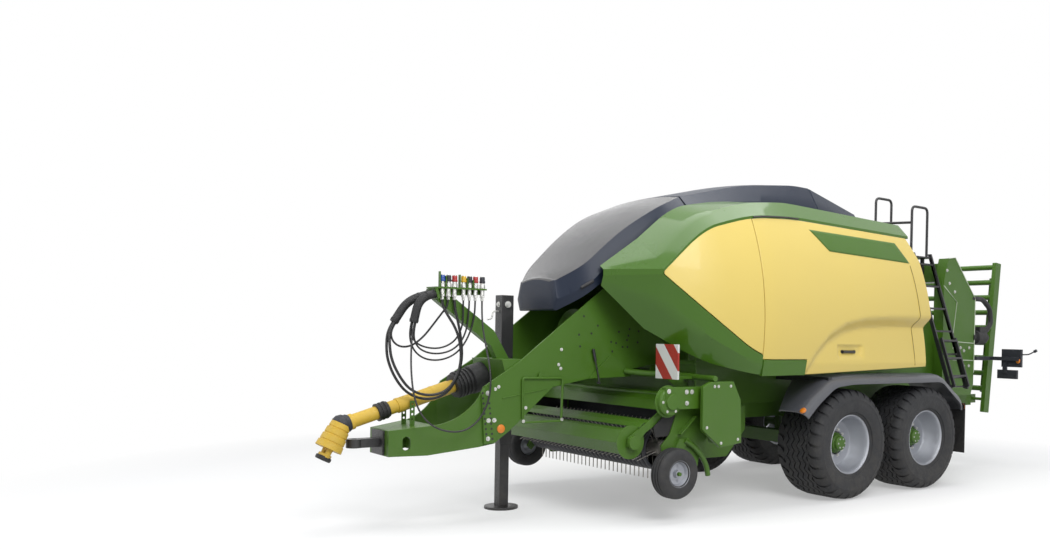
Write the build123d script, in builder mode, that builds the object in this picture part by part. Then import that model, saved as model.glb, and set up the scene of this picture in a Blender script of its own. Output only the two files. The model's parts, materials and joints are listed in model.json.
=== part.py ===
import os
from math import acos, atan2, cos, degrees, radians, sin, tan

from build123d import *

os.makedirs("parts", exist_ok=True)

# Overall layout in mm: x forward and y left of the tandem centre, z up from the ground
FRONT_REACH = 5900
REAR_REACH = 3351
TANDEM_X = (REAR_REACH - FRONT_REACH) / 2

# Running gear
WHEELBASE_HALF = 675
TRACK_HALF = 1160
TYRE_R = 595
TYRE_HALF_W = 310
AXLE_Z = TYRE_R
RIM_R = 315
SPINDLE_R = 50
BEAM = 140
KINGPIN_Y = 770
KINGPIN_R = 35

# Bale channel and frame
CHANNEL_HALF_W = 600
CHANNEL_WALL = 40
CHANNEL_FLOOR = 1050
CHANNEL_HEIGHT = 900
CHANNEL_FRONT = 2300
CHANNEL_REAR = -2500
RAIL_TOP = CHANNEL_FLOOR - CHANNEL_WALL
RAIL_DEEP = 160
PLATE_IN = 430
PLATE_T = 20
BULKHEAD_X = CHANNEL_FRONT + 30

# Drive line
PTO_JOINT = (5690, 905)
PTO_HOUSING = (4330, 1318)
YOKE_END = (5853, 600)
YOKE_BORE_R = 22.2
FLYWHEEL_Z = 1650
FLYWHEEL_R = 330

# Pick-up
PIVOT = (2390, 1010)
REEL = (2990, 655)
TINE_R = 310
BAND_R = 200
TINE_PITCH = 70
TINE_COLUMNS = 31
TINE_ROWS = 5
GUARD_PIVOT = (2800, 1150)
ROLLER = (3430, 745)
ROLLER_R = 130
GAUGE = (3050, 455)
GAUGE_R = 235
GAUGE_Y = 1310
ROTOR = (2210, 760)
ROTOR_R = 220

# Bodywork
SEAM_X = 2050
SHELL = 20
DOOR_T = 36
FIT = 0.8
DOOR_HINGE = (1250, 2985)
DOOR_HINGE_X = (0, 1500)
NOSE_X = 3070
HOOD_HINGE = (2440, 3176)
HOOD_HINGE_Y = 300

# Rear
CHUTE_HINGE = (-3080, 930)
CHUTE_LEAN = 6.4
CHUTE_LENGTH = 1900

# Hoses: the arm's collar, the sleeves on it and the couplings in its rack
COLLAR = (4915, 2060)
COLLAR_DROP = 16.7
SLEEVE_R = 38
SLEEVE_LEAD = (214, 152)
SLEEVE_END = ((5250, 50, 1800), (5110, 150, 1800))
COUPLING_X = (4850, 4790, 4730, 4640, 4580, 4520, 4450)
COUPLING_Y = 168
COUPLING_FOOT = 2040
COUPLING_TOP = 2236
COUPLING_R = 20
COUPLING_LEAD = 80
RACK_Z = 2117
RACK_T = 14

TANDEM = Plane(origin=(TANDEM_X, 0, 0))


def side(y):
    return Plane(origin=(TANDEM_X, y, 0), x_dir=(1, 0, 0), z_dir=(0, -1, 0))


def across(x):
    return Plane(origin=(TANDEM_X + x, 0, 0), x_dir=(0, 1, 0), z_dir=(1, 0, 0))


def level(z):
    return Plane(origin=(TANDEM_X, 0, z))


def lateral(x, z):
    return Axis((TANDEM_X + x, 0, z), (0, 1, 0))


def hub_plane(x, z):
    return Plane(origin=(TANDEM_X + x, 0, z), x_dir=(0, 1, 0), z_dir=(1, 0, 0))


def line_plane(start, end):
    run = (end[0] - start[0], 0, end[1] - start[1])
    return Plane(origin=(TANDEM_X + start[0], 0, start[1]), x_dir=(0, 1, 0), z_dir=run)


def spot(x, y, z):
    return Vector(TANDEM_X + x, y, z)


def keep(piece, name):
    piece.label = name
    export_step(piece, f"parts/{name}.step")


# Drawbar: tapered side plates that close into a boxed nose, with perforated supports for the shaft
SUPPORT_X = 5080
SUPPORT_Y = 84
SUPPORT_T = 8
SUPPORT_FOOT = 860
SUPPORT_TOP = 1105
NOSE_TOP = [(5345, 632), (5345, 858), (4960, 900)]
FLANGE_EDGE = [(4559, 1240), (4440, 1240), (4440, 722), (5030, 636), (5345, 632)]
with BuildPart() as drawbar:
    with BuildSketch(side(0)):
        with BuildLine():
            Polyline(*NOSE_TOP)
            ThreePointArc(NOSE_TOP[-1], (4715, 1015), FLANGE_EDGE[0])
            Polyline(*FLANGE_EDGE)
        make_face()
    extrude(amount=500, both=True)
    with BuildSketch(level(0)):
        Polygon((5345, 200), (4600, PLATE_IN), (4440, PLATE_IN), (4440, -PLATE_IN),
                (4600, -PLATE_IN), (5345, -200), align=None)
    extrude(amount=1500, mode=Mode.INTERSECT)
    with BuildSketch(level(0)):
        Polygon((4960, 300), (4600, PLATE_IN - 18), (4430, PLATE_IN - 18),
                (4430, 18 - PLATE_IN), (4600, 18 - PLATE_IN), (4960, -300), align=None)
    extrude(amount=1500, mode=Mode.SUBTRACT)
    with BuildSketch(level(0)):
        Polygon((5300, 195), (4980, 275), (4980, -275), (5300, -195), align=None)
    extrude(amount=830, mode=Mode.SUBTRACT)
    with BuildSketch(side(500)):
        with Locations((5200, 745)):
            SlotOverall(120, 66, rotation=90)
    extrude(amount=1000, mode=Mode.SUBTRACT)
    for y in (SUPPORT_Y + SUPPORT_T, -SUPPORT_Y):
        with BuildSketch(side(y)):
            with Locations((SUPPORT_X, (SUPPORT_FOOT + SUPPORT_TOP) / 2)):
                Rectangle(44, SUPPORT_TOP - SUPPORT_FOOT)
        extrude(amount=SUPPORT_T)
        with BuildSketch(side(y)):
            with Locations(*[(SUPPORT_X, SUPPORT_TOP - 30 - 45 * i) for i in range(4)]):
                Circle(11)
        extrude(amount=SUPPORT_T, mode=Mode.SUBTRACT)
keep(drawbar.part, "drawbar")

with BuildPart(TANDEM) as hitch_eye:
    with Locations((5355, 0, 745)):
        Box(20, 240, 215)
    with Locations((5455, 0, 745)):
        Box(180, 110, 76)
    with Locations((5570, 0, 745)):
        Cylinder(68, 76)
        Cylinder(25.5, 76, mode=Mode.SUBTRACT)
keep(hitch_eye.part, "hitch_eye")

# Frame: side plates, bale channel with bulkhead, rails below it
PLATE_SIDE = [(4460, 722), (4559, 1245), (4195, 1470), (3263, 2185), (3000, 2300),
              (BULKHEAD_X, 2300), (BULKHEAD_X, 1478), (2624, 1433), (3406, 1295),
              (3840, 1222), (4295, 834)]
with BuildPart() as frame_plates:
    for outer in (PLATE_IN + PLATE_T, -PLATE_IN):
        with BuildSketch(side(outer)):
            Polygon(*PLATE_SIDE, align=None)
        extrude(amount=PLATE_T)
keep(frame_plates.part, "frame_plates")

CHANNEL_LENGTH = CHANNEL_FRONT - CHANNEL_REAR
CHANNEL_TOP = CHANNEL_FLOOR + CHANNEL_HEIGHT
CHANNEL_OUT = CHANNEL_HALF_W + CHANNEL_WALL
with BuildPart() as bale_channel:
    with BuildSketch(across(CHANNEL_REAR)):
        with Locations((0, (CHANNEL_FLOOR + CHANNEL_TOP) / 2)):
            Rectangle(2 * CHANNEL_OUT, CHANNEL_HEIGHT + 2 * CHANNEL_WALL)
            Rectangle(2 * CHANNEL_HALF_W, CHANNEL_HEIGHT, mode=Mode.SUBTRACT)
    extrude(amount=CHANNEL_LENGTH)
    with BuildSketch(across(CHANNEL_FRONT)):
        with Locations((0, (RAIL_TOP + 2300) / 2)):
            Rectangle(2 * CHANNEL_OUT, 2300 - RAIL_TOP)
    extrude(amount=30)
keep(bale_channel.part, "bale_channel")

with BuildPart(TANDEM) as chassis_rails:
    with Locations((-605, 520, RAIL_TOP - RAIL_DEEP / 2), (-605, -520, RAIL_TOP - RAIL_DEEP / 2)):
        Box(4590, 120, RAIL_DEEP)
    with Locations((-3015, 490, 930), (-3015, -490, 930)):
        Box(250, 20, 120)
    with BuildSketch(side(700)):
        with Locations(CHUTE_HINGE):
            Circle(20.5)
    extrude(amount=1400, mode=Mode.SUBTRACT)
    for y in (560, -480):
        with BuildSketch(side(y)):
            with BuildLine():
                ThreePointArc((-745, AXLE_Z + 98), (0, 785), (745, AXLE_Z + 98))
            trace(line_width=56)
            with Locations((0, 815)):
                Rectangle(240, 72)
            for x in (-WHEELBASE_HALF, WHEELBASE_HALF):
                with Locations((x, AXLE_Z + 95)):
                    Rectangle(130, 50)
        extrude(amount=80)
keep(chassis_rails.part, "chassis_rails")

with BuildPart() as feeder_housing:
    with BuildSketch(side(850)):
        Polygon((1700, 1010), (1700, 760), (1960, 490), (2330, 490), (2440, 620),
                (2470, 1010), (2440, 1075), (2345, 1085), (2320, 1010), align=None)
    extrude(amount=1700)
    with BuildSketch(side(830)):
        Polygon((1600, 990), (1600, 400), (2600, 400), (2600, 1200), (2320, 1200),
                (2320, 990), align=None)
    extrude(amount=1660, mode=Mode.SUBTRACT)
    with BuildSketch(side(900)):
        with Locations(PIVOT):
            Circle(45.6)
        with Locations(ROTOR):
            Circle(40.6)
    extrude(amount=1800, mode=Mode.SUBTRACT)
keep(feeder_housing.part, "feeder_housing")

with BuildPart(TANDEM) as main_gearbox:
    with Locations(((BULKHEAD_X + 2900) / 2, 0, 1790)):
        Box(2900 - BULKHEAD_X, 560, 640)
    chamfer(main_gearbox.edges().filter_by(Axis.X), 60)
    with BuildSketch(across(2900)):
        with Locations((0, FLYWHEEL_Z)):
            Circle(45.6)
    extrude(amount=-120, mode=Mode.SUBTRACT)
keep(main_gearbox.part, "main_gearbox")

with BuildPart() as flywheel:
    with BuildSketch(across(3180)):
        with Locations((0, FLYWHEEL_Z)):
            Circle(FLYWHEEL_R)
    extrude(amount=140)
    with BuildSketch(across(2790)):
        with Locations((0, FLYWHEEL_Z)):
            Circle(45)
    extrude(amount=700)
keep(flywheel.part, "flywheel")

# Drive shaft guard: the tube lies on a sloping line, the front end hangs down
PTO = line_plane(PTO_JOINT, PTO_HOUSING)
PTO_LENGTH = ((PTO_JOINT[0] - PTO_HOUSING[0]) ** 2 + (PTO_HOUSING[1] - PTO_JOINT[1]) ** 2) ** 0.5
YOKE = line_plane(PTO_JOINT, YOKE_END)
CONE_NECK = 70
CONE_STEP = 50
CONE_R = (84, 93, 102)
BELLOWS_R = (112, 126)
BELLOWS_STEP = 18
BELLOWS_RIBS = 5
with BuildPart() as pto_guard:
    with BuildSketch(PTO):
        Circle(60)
    extrude(amount=PTO_LENGTH - 330)
    with BuildSketch(PTO.offset(PTO_LENGTH - 900)):
        Circle(66)
    extrude(amount=520)
    with BuildSketch(YOKE):
        Circle(62)
    with BuildSketch(YOKE.offset(CONE_NECK)):
        Circle(CONE_R[0])
    loft()
    for i, radius in enumerate(CONE_R):
        with BuildSketch(YOKE.offset(CONE_NECK + i * CONE_STEP)):
            Circle(radius)
        extrude(amount=CONE_STEP)
    with Locations((TANDEM_X + PTO_JOINT[0], 0, PTO_JOINT[1])):
        Sphere(72)
keep(pto_guard.part, "pto_guard")

with BuildPart() as pto_boots:
    with BuildSketch(PTO.offset(PTO_LENGTH - 330)):
        Circle(BELLOWS_R[0])
    extrude(amount=180)
    for i in range(BELLOWS_RIBS):
        with BuildSketch(PTO.offset(PTO_LENGTH - 300 + 2 * BELLOWS_STEP * i)):
            Circle(BELLOWS_R[1])
        extrude(amount=BELLOWS_STEP)
    with BuildSketch(PTO.offset(PTO_LENGTH - 150)):
        Circle(135)
    extrude(amount=150)
    for i in range(6):
        with BuildSketch(PTO.offset(330 + BELLOWS_STEP * i)):
            Circle(72 + 8 * ((i + 1) % 2))
            Circle(60, mode=Mode.SUBTRACT)
        extrude(amount=BELLOWS_STEP)
keep(pto_boots.part, "pto_boots")

with BuildPart() as pto_yoke:
    with BuildSketch(YOKE.offset(220)):
        Circle(52)
    extrude(amount=126)
    with BuildSketch(YOKE.offset(290)):
        Circle(64)
    extrude(amount=36)
    with BuildSketch(YOKE.offset(346)):
        Circle(YOKE_BORE_R)
    extrude(amount=-90, mode=Mode.SUBTRACT)
keep(pto_yoke.part, "pto_yoke")

# Parking jack
JACK = (4000, -200)
with BuildPart(TANDEM) as jack_tube:
    with Locations((JACK[0], JACK[1], 1365)):
        Box(130, 130, 1450)
    with Locations((JACK[0], JACK[1], 1350)):
        Box(106, 106, 1450, mode=Mode.SUBTRACT)
    with Locations((JACK[0], -347.5, 1330)):
        Box(90, 165, 180)
keep(jack_tube.part, "jack_tube")

with BuildPart(TANDEM) as jack_leg:
    with Locations((JACK[0], JACK[1], 12)):
        Cylinder(165, 24)
    with Locations((JACK[0], JACK[1], 762)):
        Box(100, 100, 1476)
    with Locations((JACK[0], JACK[1], 1440)):
        Box(105.8, 105.8, 120)
keep(jack_leg.part, "jack_leg")

# Input housing and the hose arm on it, with its coupling rack
COLLAR_WAY = Vector(cos(radians(COLLAR_DROP)), 0, -sin(radians(COLLAR_DROP)))
ARM_Y = 140
ARM_W = 80
RACK_X = (4415, 4925)
RACK_Y = (5, 195)
with BuildPart(TANDEM) as hose_arm:
    with BuildSketch(side(ARM_Y)):
        Polygon((4140, 1481), (4270, 1481), (4330, 1600), (4896, 2008), (4925, RACK_Z),
                (4440, RACK_Z), (4425, 2070), (4740, 2050), (4300, 1740), align=None)
    extrude(amount=ARM_W)
    with Locations((sum(RACK_X) / 2, sum(RACK_Y) / 2, RACK_Z)):
        Box(RACK_X[1] - RACK_X[0], RACK_Y[1] - RACK_Y[0], RACK_T)
    with BuildSketch(Plane(origin=spot(COLLAR[0], 100, COLLAR[1]), x_dir=(0, 1, 0), z_dir=COLLAR_WAY)):
        Rectangle(190, 92)
    extrude(amount=-24)
    with BuildSketch(level(RACK_Z + RACK_T)):
        with Locations(*[(x, COUPLING_Y) for x in COUPLING_X]):
            Circle(COUPLING_R + 0.3)
    extrude(amount=-3 * RACK_T, mode=Mode.SUBTRACT)
    with BuildSketch(side(PLATE_IN)):
        Polygon((4120, 1481), (4379.5, 1481), (4280, 1154), (4120, 1154), align=None)
    extrude(amount=PLATE_IN + 140)
keep(hose_arm.part, "hose_arm")

with BuildPart() as couplings:
    with BuildSketch(level(COUPLING_FOOT)):
        with Locations(*[(x, COUPLING_Y) for x in COUPLING_X]):
            Circle(COUPLING_R)
    extrude(amount=COUPLING_TOP - COUPLING_FOOT)
    with BuildSketch(level(RACK_Z + RACK_T / 2 + FIT / 2)):
        with Locations(*[(x, COUPLING_Y) for x in COUPLING_X]):
            Circle(COUPLING_R + 6)
    extrude(amount=34)
keep(couplings.part, "couplings")


def bend_radii(points):
    radii = []
    for before, corner, after in zip(points, points[1:], points[2:]):
        turn = (corner - before).get_angle(after - corner)
        shorter = min((corner - before).length, (after - corner).length)
        radii.append(0.45 * shorter / tan(radians(turn / 2)))
    return radii


# Each sleeve leaves the collar square to its face and hangs over at its end
SLEEVE_ROUTES = []
for end, lead in zip(SLEEVE_END, SLEEVE_LEAD):
    foot = spot(COLLAR[0], end[1], COLLAR[1])
    SLEEVE_ROUTES.append([foot, foot + COLLAR_WAY * lead, spot(*end)])
with BuildPart() as hose_sleeves:
    for route in SLEEVE_ROUTES:
        with BuildLine():
            FilletPolyline(*route, radius=bend_radii(route)[0])
        with BuildSketch(Plane(origin=route[0], z_dir=COLLAR_WAY)):
            Circle(SLEEVE_R)
        sweep()
keep(hose_sleeves.part, "hose_sleeves")

# Hoses. Columns: sleeve, place in the sleeve's mouth (y, across), length of the straight start,
# diameter, coupling, then the points between the start and the coupling
LONG_HOSES = [
    (0, (16, 0), 85, 24, 0, [
        (5305, 95, 1600), (5292, 110, 1470), (5225, 135, 1320), (5128, 155, 1197), (4965, 170, 1147),
        (4800, 190, 1185), (4705, 205, 1320), (4672, 213, 1480), (4690, 214, 1640), (4735, 206, 1765),
        (4797, 193, 1860)]),
    (0, (-16, 0), 85, 24, 2, [
        (5318, 55, 1600), (5312, 72, 1465), (5250, 95, 1305), (5145, 112, 1172), (4975, 128, 1108),
        (4790, 150, 1150), (4688, 170, 1300), (4648, 182, 1470), (4660, 184, 1640), (4690, 180, 1795)]),
    (1, (22, 0), 80, 16, 6, [
        (5150, 200, 1600), (5170, 240, 1455), (5185, 295, 1300), (5185, 350, 1150), (5150, 405, 1010),
        (5060, 450, 905), (4930, 475, 855), (4790, 485, 850), (4665, 492, 915), (4580, 498, 1030),
        (4535, 500, 1165), (4522, 490, 1310), (4520, 450, 1455), (4515, 380, 1590), (4500, 300, 1715),
        (4475, 225, 1830)]),
]
SHORT_HOSES = [
    (0, (0, -18), 80, 18, 1, [
        (5264, 52, 1632), (5190, 58, 1578), (5085, 66, 1590), (4985, 86, 1672), (4905, 112, 1785),
        (4838, 145, 1890)]),
    (1, (-22, 0), 68, 16, 3, [
        (5105, 114, 1660), (5045, 106, 1605), (4950, 100, 1575), (4845, 98, 1570), (4750, 102, 1598),
        (4680, 118, 1655), (4645, 142, 1740), (4636, 163, 1830)]),
    (1, (0, -19.5), 68, 16, 4, [
        (5098, 142, 1640), (5050, 134, 1570), (4960, 128, 1530), (4850, 126, 1522), (4740, 128, 1548),
        (4655, 134, 1610), (4605, 144, 1700), (4585, 156, 1810)]),
    (1, (0, 19.5), 68, 16, 5, [
        (5142, 152, 1640), (5100, 150, 1545), (5010, 148, 1480), (4890, 146, 1462), (4770, 146, 1485),
        (4670, 148, 1545), (4595, 150, 1640), (4545, 156, 1760), (4523, 164, 1880)]),
]


def hose_route(sleeve, place, lead, coupling, middle):
    way = (SLEEVE_ROUTES[sleeve][2] - SLEEVE_ROUTES[sleeve][1]).normalized()
    lateral_way = Vector(0, 1, 0)
    start = SLEEVE_ROUTES[sleeve][2] + lateral_way * place[0] + lateral_way.cross(way) * -place[1]
    finish = spot(COUPLING_X[coupling], COUPLING_Y, COUPLING_FOOT)
    below = spot(COUPLING_X[coupling], COUPLING_Y, COUPLING_FOOT - COUPLING_LEAD)
    return [start, start + way * lead, *[spot(*point) for point in middle], below, finish]


for name, rows in (("hoses_long", LONG_HOSES), ("hoses_short", SHORT_HOSES)):
    with BuildPart() as hoses:
        for sleeve, place, lead, diameter, coupling, middle in rows:
            route = hose_route(sleeve, place, lead, coupling, middle)
            radii = bend_radii(route)
            print(f"{name}: smallest bend radius {min(radii) / diameter:.1f} diameters")
            with BuildLine():
                FilletPolyline(*route, radius=radii)
            with BuildSketch(Plane(origin=route[0], z_dir=route[1] - route[0])):
                Circle(diameter / 2)
            sweep()
    keep(hoses.part, name)

# Bodywork sections. Columns: station x, then y and z of the inner top edge, the shoulder,
# the lower seam and the bottom edge
SHELL_ROWS = [
    (-760, (720, 3050), (1190, 2935), (1452, 1490), (1436, 1425)),
    (1440, (720, 3172), (1215, 2985), (1458, 1510), (1430, 1350)),
    (SEAM_X, (720, 3130), (1240, 2945), (1450, 1510), (1424, 1345)),
    (2650, (718, 3010), (1205, 2775), (1345, 1922), (1190, 1488)),
    (NOSE_X, (700, 2662), (1120, 2352), (1120, 2300), (830, 1792)),
    (3440, (620, 2342), (660, 2322), (660, 2302), (640, 2262)),
]


def strip(start, end, thick, trim_start, trim_end):
    run = (Vector(*end) - Vector(*start))
    length = run.length
    way = run / length
    inward = Vector(way.Y, -way.X) * thick
    if inward.X > 0:
        inward = inward * -1
    first = Vector(*start) + way * trim_start
    last = Vector(*end) - way * trim_end
    return [(p.X, p.Y) for p in (first, last, last + inward, first + inward)]


def row_at(x):
    for low, high in zip(SHELL_ROWS, SHELL_ROWS[1:]):
        if low[0] <= x <= high[0]:
            part = (x - low[0]) / (high[0] - low[0])
            return [tuple(a + (b - a) * part for a, b in zip(p, q)) for p, q in zip(low[1:], high[1:])]


def bowed(corners, radius):
    first, last, last_in, first_in = [Vector(*c) for c in corners]
    chord = (last - first).length
    bow = (first - first_in).normalized() * (chord * chord / 8 / radius)
    return first, (first + last) / 2 + bow, last, last_in, (first_in + last_in) / 2 + bow, first_in


def cowl_under(x, y):
    row = row_at(x)
    start, end = strip(row[0], row[1], SHELL, 0, 0)[3:1:-1]
    return start[1] + (end[1] - start[1]) * (y - start[0]) / (end[0] - start[0])


# Green cowls: top band, nose and lower edge in one shell on each side
NOSE_ROWS = [row for row in SHELL_ROWS if row[0] >= NOSE_X]
FRONT_ROWS = [row for row in SHELL_ROWS if row[0] >= SEAM_X]
with BuildPart() as cowls:
    for rows, edge in ((SHELL_ROWS, 1), (NOSE_ROWS, 2), (FRONT_ROWS, 3)):
        for row in rows:
            with BuildSketch(across(row[0])):
                Polygon(*strip(row[edge], row[edge + 1], SHELL, 0, 0), align=None)
        loft(ruled=True)
    for x in DOOR_HINGE_X:
        inner, shoulder = row_at(x)[:2]
        with BuildSketch(across(x)):
            Polygon((shoulder[0] - 60, shoulder[1] + 5), (1238, 3002), (1262, 3002), (1266, 2985),
                    (1260, 2972), (shoulder[0] - 4, shoulder[1] - 4), align=None)
            with Locations(DOOR_HINGE):
                Circle(7.1, mode=Mode.SUBTRACT)
        extrude(amount=14)
    mirror(about=Plane.XZ)
keep(cowls.part, "cowls")

# Yellow front covers and side doors
PANEL_BOW = 2520
SEAM_GAP = 27
with BuildPart() as front_covers:
    for x in (SEAM_X + 5, 2650, NOSE_X - 40):
        row = row_at(x)
        out_top, out_mid, out_low, in_low, in_mid, in_top = bowed(
            strip(row[1], row[2], DOOR_T, SEAM_GAP, SEAM_GAP), PANEL_BOW)
        with BuildSketch(across(x)):
            with BuildLine():
                ThreePointArc(out_top, out_mid, out_low)
                Line(out_low, in_low)
                ThreePointArc(in_low, in_mid, in_top)
                Line(in_top, out_top)
            make_face()
    loft(ruled=True)
    for x in (2200, 2600):
        shoulder = row_at(x)[1]
        edge_z = cowl_under(x, shoulder[0] - 30) - FIT
        with BuildSketch(across(x - 3)):
            Polygon((shoulder[0] - 95, cowl_under(x, shoulder[0] - 95) - FIT), (shoulder[0] - 30, edge_z),
                    (shoulder[0] - 18, edge_z - 22), (shoulder[0] - 12, edge_z - 90),
                    (shoulder[0] - 95, edge_z - 60), align=None)
        extrude(amount=6)
    mirror(about=Plane.XZ)
keep(front_covers.part, "front_covers")

SILL_BACK = 1425
for name, hand in (("door_left", 1), ("door_right", -1)):
    with BuildPart() as door:
        for x in (-745, 1440, SEAM_X - 5):
            row = row_at(x)
            out_top, out_mid, out_low, in_low, in_mid, in_top = bowed(
                strip(row[1], row[3], DOOR_T, SEAM_GAP, 0), PANEL_BOW)
            with BuildSketch(across(x)):
                with BuildLine():
                    ThreePointArc(out_top, out_mid, out_low)
                    Line(out_low, in_low)
                    ThreePointArc(in_low, in_mid, in_top)
                    Line(in_top, out_top)
                make_face()
        loft(ruled=True)
        with BuildSketch(side(1600)):
            Polygon((SILL_BACK, 1300), (SILL_BACK, 1510), (2100, 1510), (2100, 1300), align=None)
            Polygon((-760, 1300), (-660, 1300), (-660, 1480), (-690, 1990), (-635, 2640),
                    (-450, 3000), (-760, 3000), align=None)
        extrude(amount=600, mode=Mode.SUBTRACT)
        with BuildSketch(side(1600)):
            with BuildLine():
                Polyline((-800, 1300), (1440, 1300), (1400, 1450))
                ThreePointArc((1400, 1450), (1130, 1790), (560, 1955))
                Polyline((560, 1955), (-800, 1995), (-800, 1300))
            make_face()
        extrude(amount=160, mode=Mode.SUBTRACT)
        for x in DOOR_HINGE_X:
            shoulder = row_at(x)[1]
            with BuildSketch(across(x + 16)):
                Polygon((shoulder[0] + 3, shoulder[1] - 29), (1238, 2996), (1262, 2996), (1266, 2982),
                        (shoulder[0] + 20, shoulder[1] - 90), (shoulder[0] - 6, shoulder[1] - 60), align=None)
            extrude(amount=14)
            with BuildSketch(across(x - 4)):
                with Locations(DOOR_HINGE):
                    Circle(7)
            extrude(amount=34)
        if hand < 0:
            mirror(about=Plane.XZ, mode=Mode.REPLACE)
    keep(door.part, name)

for name, hand in (("door_sill_left", 1), ("door_sill_right", -1)):
    with BuildPart() as sill:
        for x in (SILL_BACK + 6, SEAM_X - 5):
            row = row_at(x)
            with BuildSketch(across(x)):
                Polygon(*strip(row[2], row[3], DOOR_T, 7, 0), align=None)
        loft(ruled=True)
        if hand < 0:
            mirror(about=Plane.XZ, mode=Mode.REPLACE)
    keep(sill.part, name)

# Hood and roof. Columns: station x, then half width and z of the foot, the waist and the top
HOOD_ROWS = [(2440, (690, 2970), (685, 3020), (600, 3112)), (2800, (690, 2800), (685, 2895), (640, 2992)),
             (3180, (640, 2400), (635, 2545), (560, 2735)), (3560, (530, 2080), (555, 2170), (505, 2380)),
             (3740, (240, 1955), (365, 2065), (310, 2240))]
ROOF_ROWS = [(2425, (690, 2980), (685, 3045), (560, 3155)), (1500, (690, 3100), (680, 3190), (545, 3380)),
             (700, (690, 3120), (675, 3220), (530, 3465)), (440, (690, 3115), (675, 3215), (530, 3460))]
TAIL_ROWS = [(430, (690, 3115), (675, 3212), (530, 3456)), (-400, (660, 3040), (645, 3080), (520, 3240))]


def hump(row, inset, drop):
    foot, waist, top = row[1:]
    half = [(foot[0] - inset, foot[1] - drop), (waist[0] - inset, waist[1]), (top[0] - inset, top[1] - inset)]
    return half + [(-y, z) for y, z in reversed(half)]


HOOD_INSIDE = [(2430, *HOOD_ROWS[0][1:]), *HOOD_ROWS[1:4], (3722, (258, 1968), (374, 2075), (320, 2254))]
with BuildPart() as hood:
    for row in HOOD_ROWS:
        with BuildSketch(across(row[0])):
            Polygon(*hump(row, 0, 0), align=None)
    loft(ruled=True)
    for row in HOOD_INSIDE:
        with BuildSketch(across(row[0])):
            Polygon(*hump(row, SHELL, 60), align=None)
    loft(ruled=True, mode=Mode.SUBTRACT)
    for y in (HOOD_HINGE_Y + 20, -HOOD_HINGE_Y):
        with BuildSketch(side(y)):
            Polygon((2427, 3166), (2427, 3190), (2454, 3190), (2520, 3105), (2520, 3076), (2442, 3102),
                    align=None)
        extrude(amount=20)
        with BuildSketch(side(y + 22)):
            with Locations(HOOD_HINGE):
                Circle(9)
        extrude(amount=64)
keep(hood.part, "hood")

ROOF_INSIDE = [(2435, *ROOF_ROWS[0][1:])] + ROOF_ROWS[1:3] + [(435, *ROOF_ROWS[3][1:])]
TAIL_INSIDE = [(435, *TAIL_ROWS[0][1:]), (-400 + SHELL, *TAIL_ROWS[1][1:])]
with BuildPart() as roof_panels:
    for rows, inside in ((ROOF_ROWS, ROOF_INSIDE), (TAIL_ROWS, TAIL_INSIDE)):
        for row in rows:
            with BuildSketch(across(row[0])):
                Polygon(*hump(row, 0, 0), align=None)
        loft(ruled=True)
        for row in inside:
            with BuildSketch(across(row[0])):
                Polygon(*hump(row, SHELL, 60), align=None)
        loft(ruled=True, mode=Mode.SUBTRACT)
    for y in (HOOD_HINGE_Y + 42, HOOD_HINGE_Y - 2, -HOOD_HINGE_Y + 22, -HOOD_HINGE_Y - 22):
        with BuildSketch(side(y)):
            Polygon((2454, 3162), (2454, 3190), (2360, 3190), (2360, 3150), (2424, 3145), (2432, 3162),
                    align=None)
            with Locations(HOOD_HINGE):
                Circle(9.1, mode=Mode.SUBTRACT)
        extrude(amount=20)
keep(roof_panels.part, "roof_panels")

# Arches of thin plate on the channel, cut to the roof's feet and the underside of the cowls
ARCH_T = 12
ARCH_X = (1900, 1000, -250)


def roof_foot(x):
    rows = ROOF_ROWS if x > 435 else TAIL_ROWS
    for high, low in zip(rows, rows[1:]):
        if low[0] <= x <= high[0]:
            return low[1][1] + (high[1][1] - low[1][1]) * (x - low[0]) / (high[0] - low[0])


with BuildPart() as body_arches:
    for x in ARCH_X:
        foot = roof_foot(x) - FIT
        tab_in = cowl_under(x, 706) - FIT
        tab_out = cowl_under(x, 820) - FIT
        half = [(0, foot - 60), (0, foot), (706, foot), (706, tab_in), (820, tab_out), (820, tab_out - 70),
                (CHANNEL_OUT, foot - 170), (CHANNEL_OUT, CHANNEL_TOP + CHANNEL_WALL),
                (570, CHANNEL_TOP + CHANNEL_WALL), (570, foot - 60)]
        with BuildSketch(across(x - ARCH_T / 2)):
            Polygon(*half, align=None)
            mirror(about=Plane.YZ)
        extrude(amount=ARCH_T)
keep(body_arches.part, "body_arches")

# Fenders over both wheels of a side, with a mudflap behind
FENDER_IN, FENDER_OUT = 850, 1475
FENDER_BEND = 120
FENDER_LINE = [(1475, 965), (1375, 1290), (1150, 1325), (-930, 1325), (-1385, 1010), (-1385, 900)]
FENDER_LIP = [(1455, 962), (1360, 1270), (1145, 1302), (-922, 1302), (-1362, 1000), (-1362, 900)]
with BuildPart() as fenders:
    with BuildSketch(side(FENDER_OUT)):
        with BuildLine():
            FilletPolyline(*FENDER_LINE, radius=FENDER_BEND)
        trace(line_width=14)
    extrude(amount=FENDER_OUT - FENDER_IN)
    with BuildSketch(side(FENDER_OUT)):
        with BuildLine():
            FilletPolyline(*FENDER_LIP, radius=FENDER_BEND - 20)
        trace(line_width=50)
    extrude(amount=14)
    with BuildSketch(side(1400)):
        for x in (1000, 0, -780):
            with Locations((x, 1292)):
                Rectangle(60, 54)
    extrude(amount=1400 - CHANNEL_OUT)
    mirror(about=Plane.XZ)
keep(fenders.part, "fenders")

FLAP_INSET = 7.5
FLAP_Y = (FENDER_IN + FENDER_OUT) / 2
with BuildPart(TANDEM) as mudflaps:
    for y in (FLAP_Y, -FLAP_Y):
        with Locations((-1397, y, 680)):
            Box(10, FENDER_OUT - FENDER_IN - 2 * FLAP_INSET, 600)
keep(mudflaps.part, "mudflaps")

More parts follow.
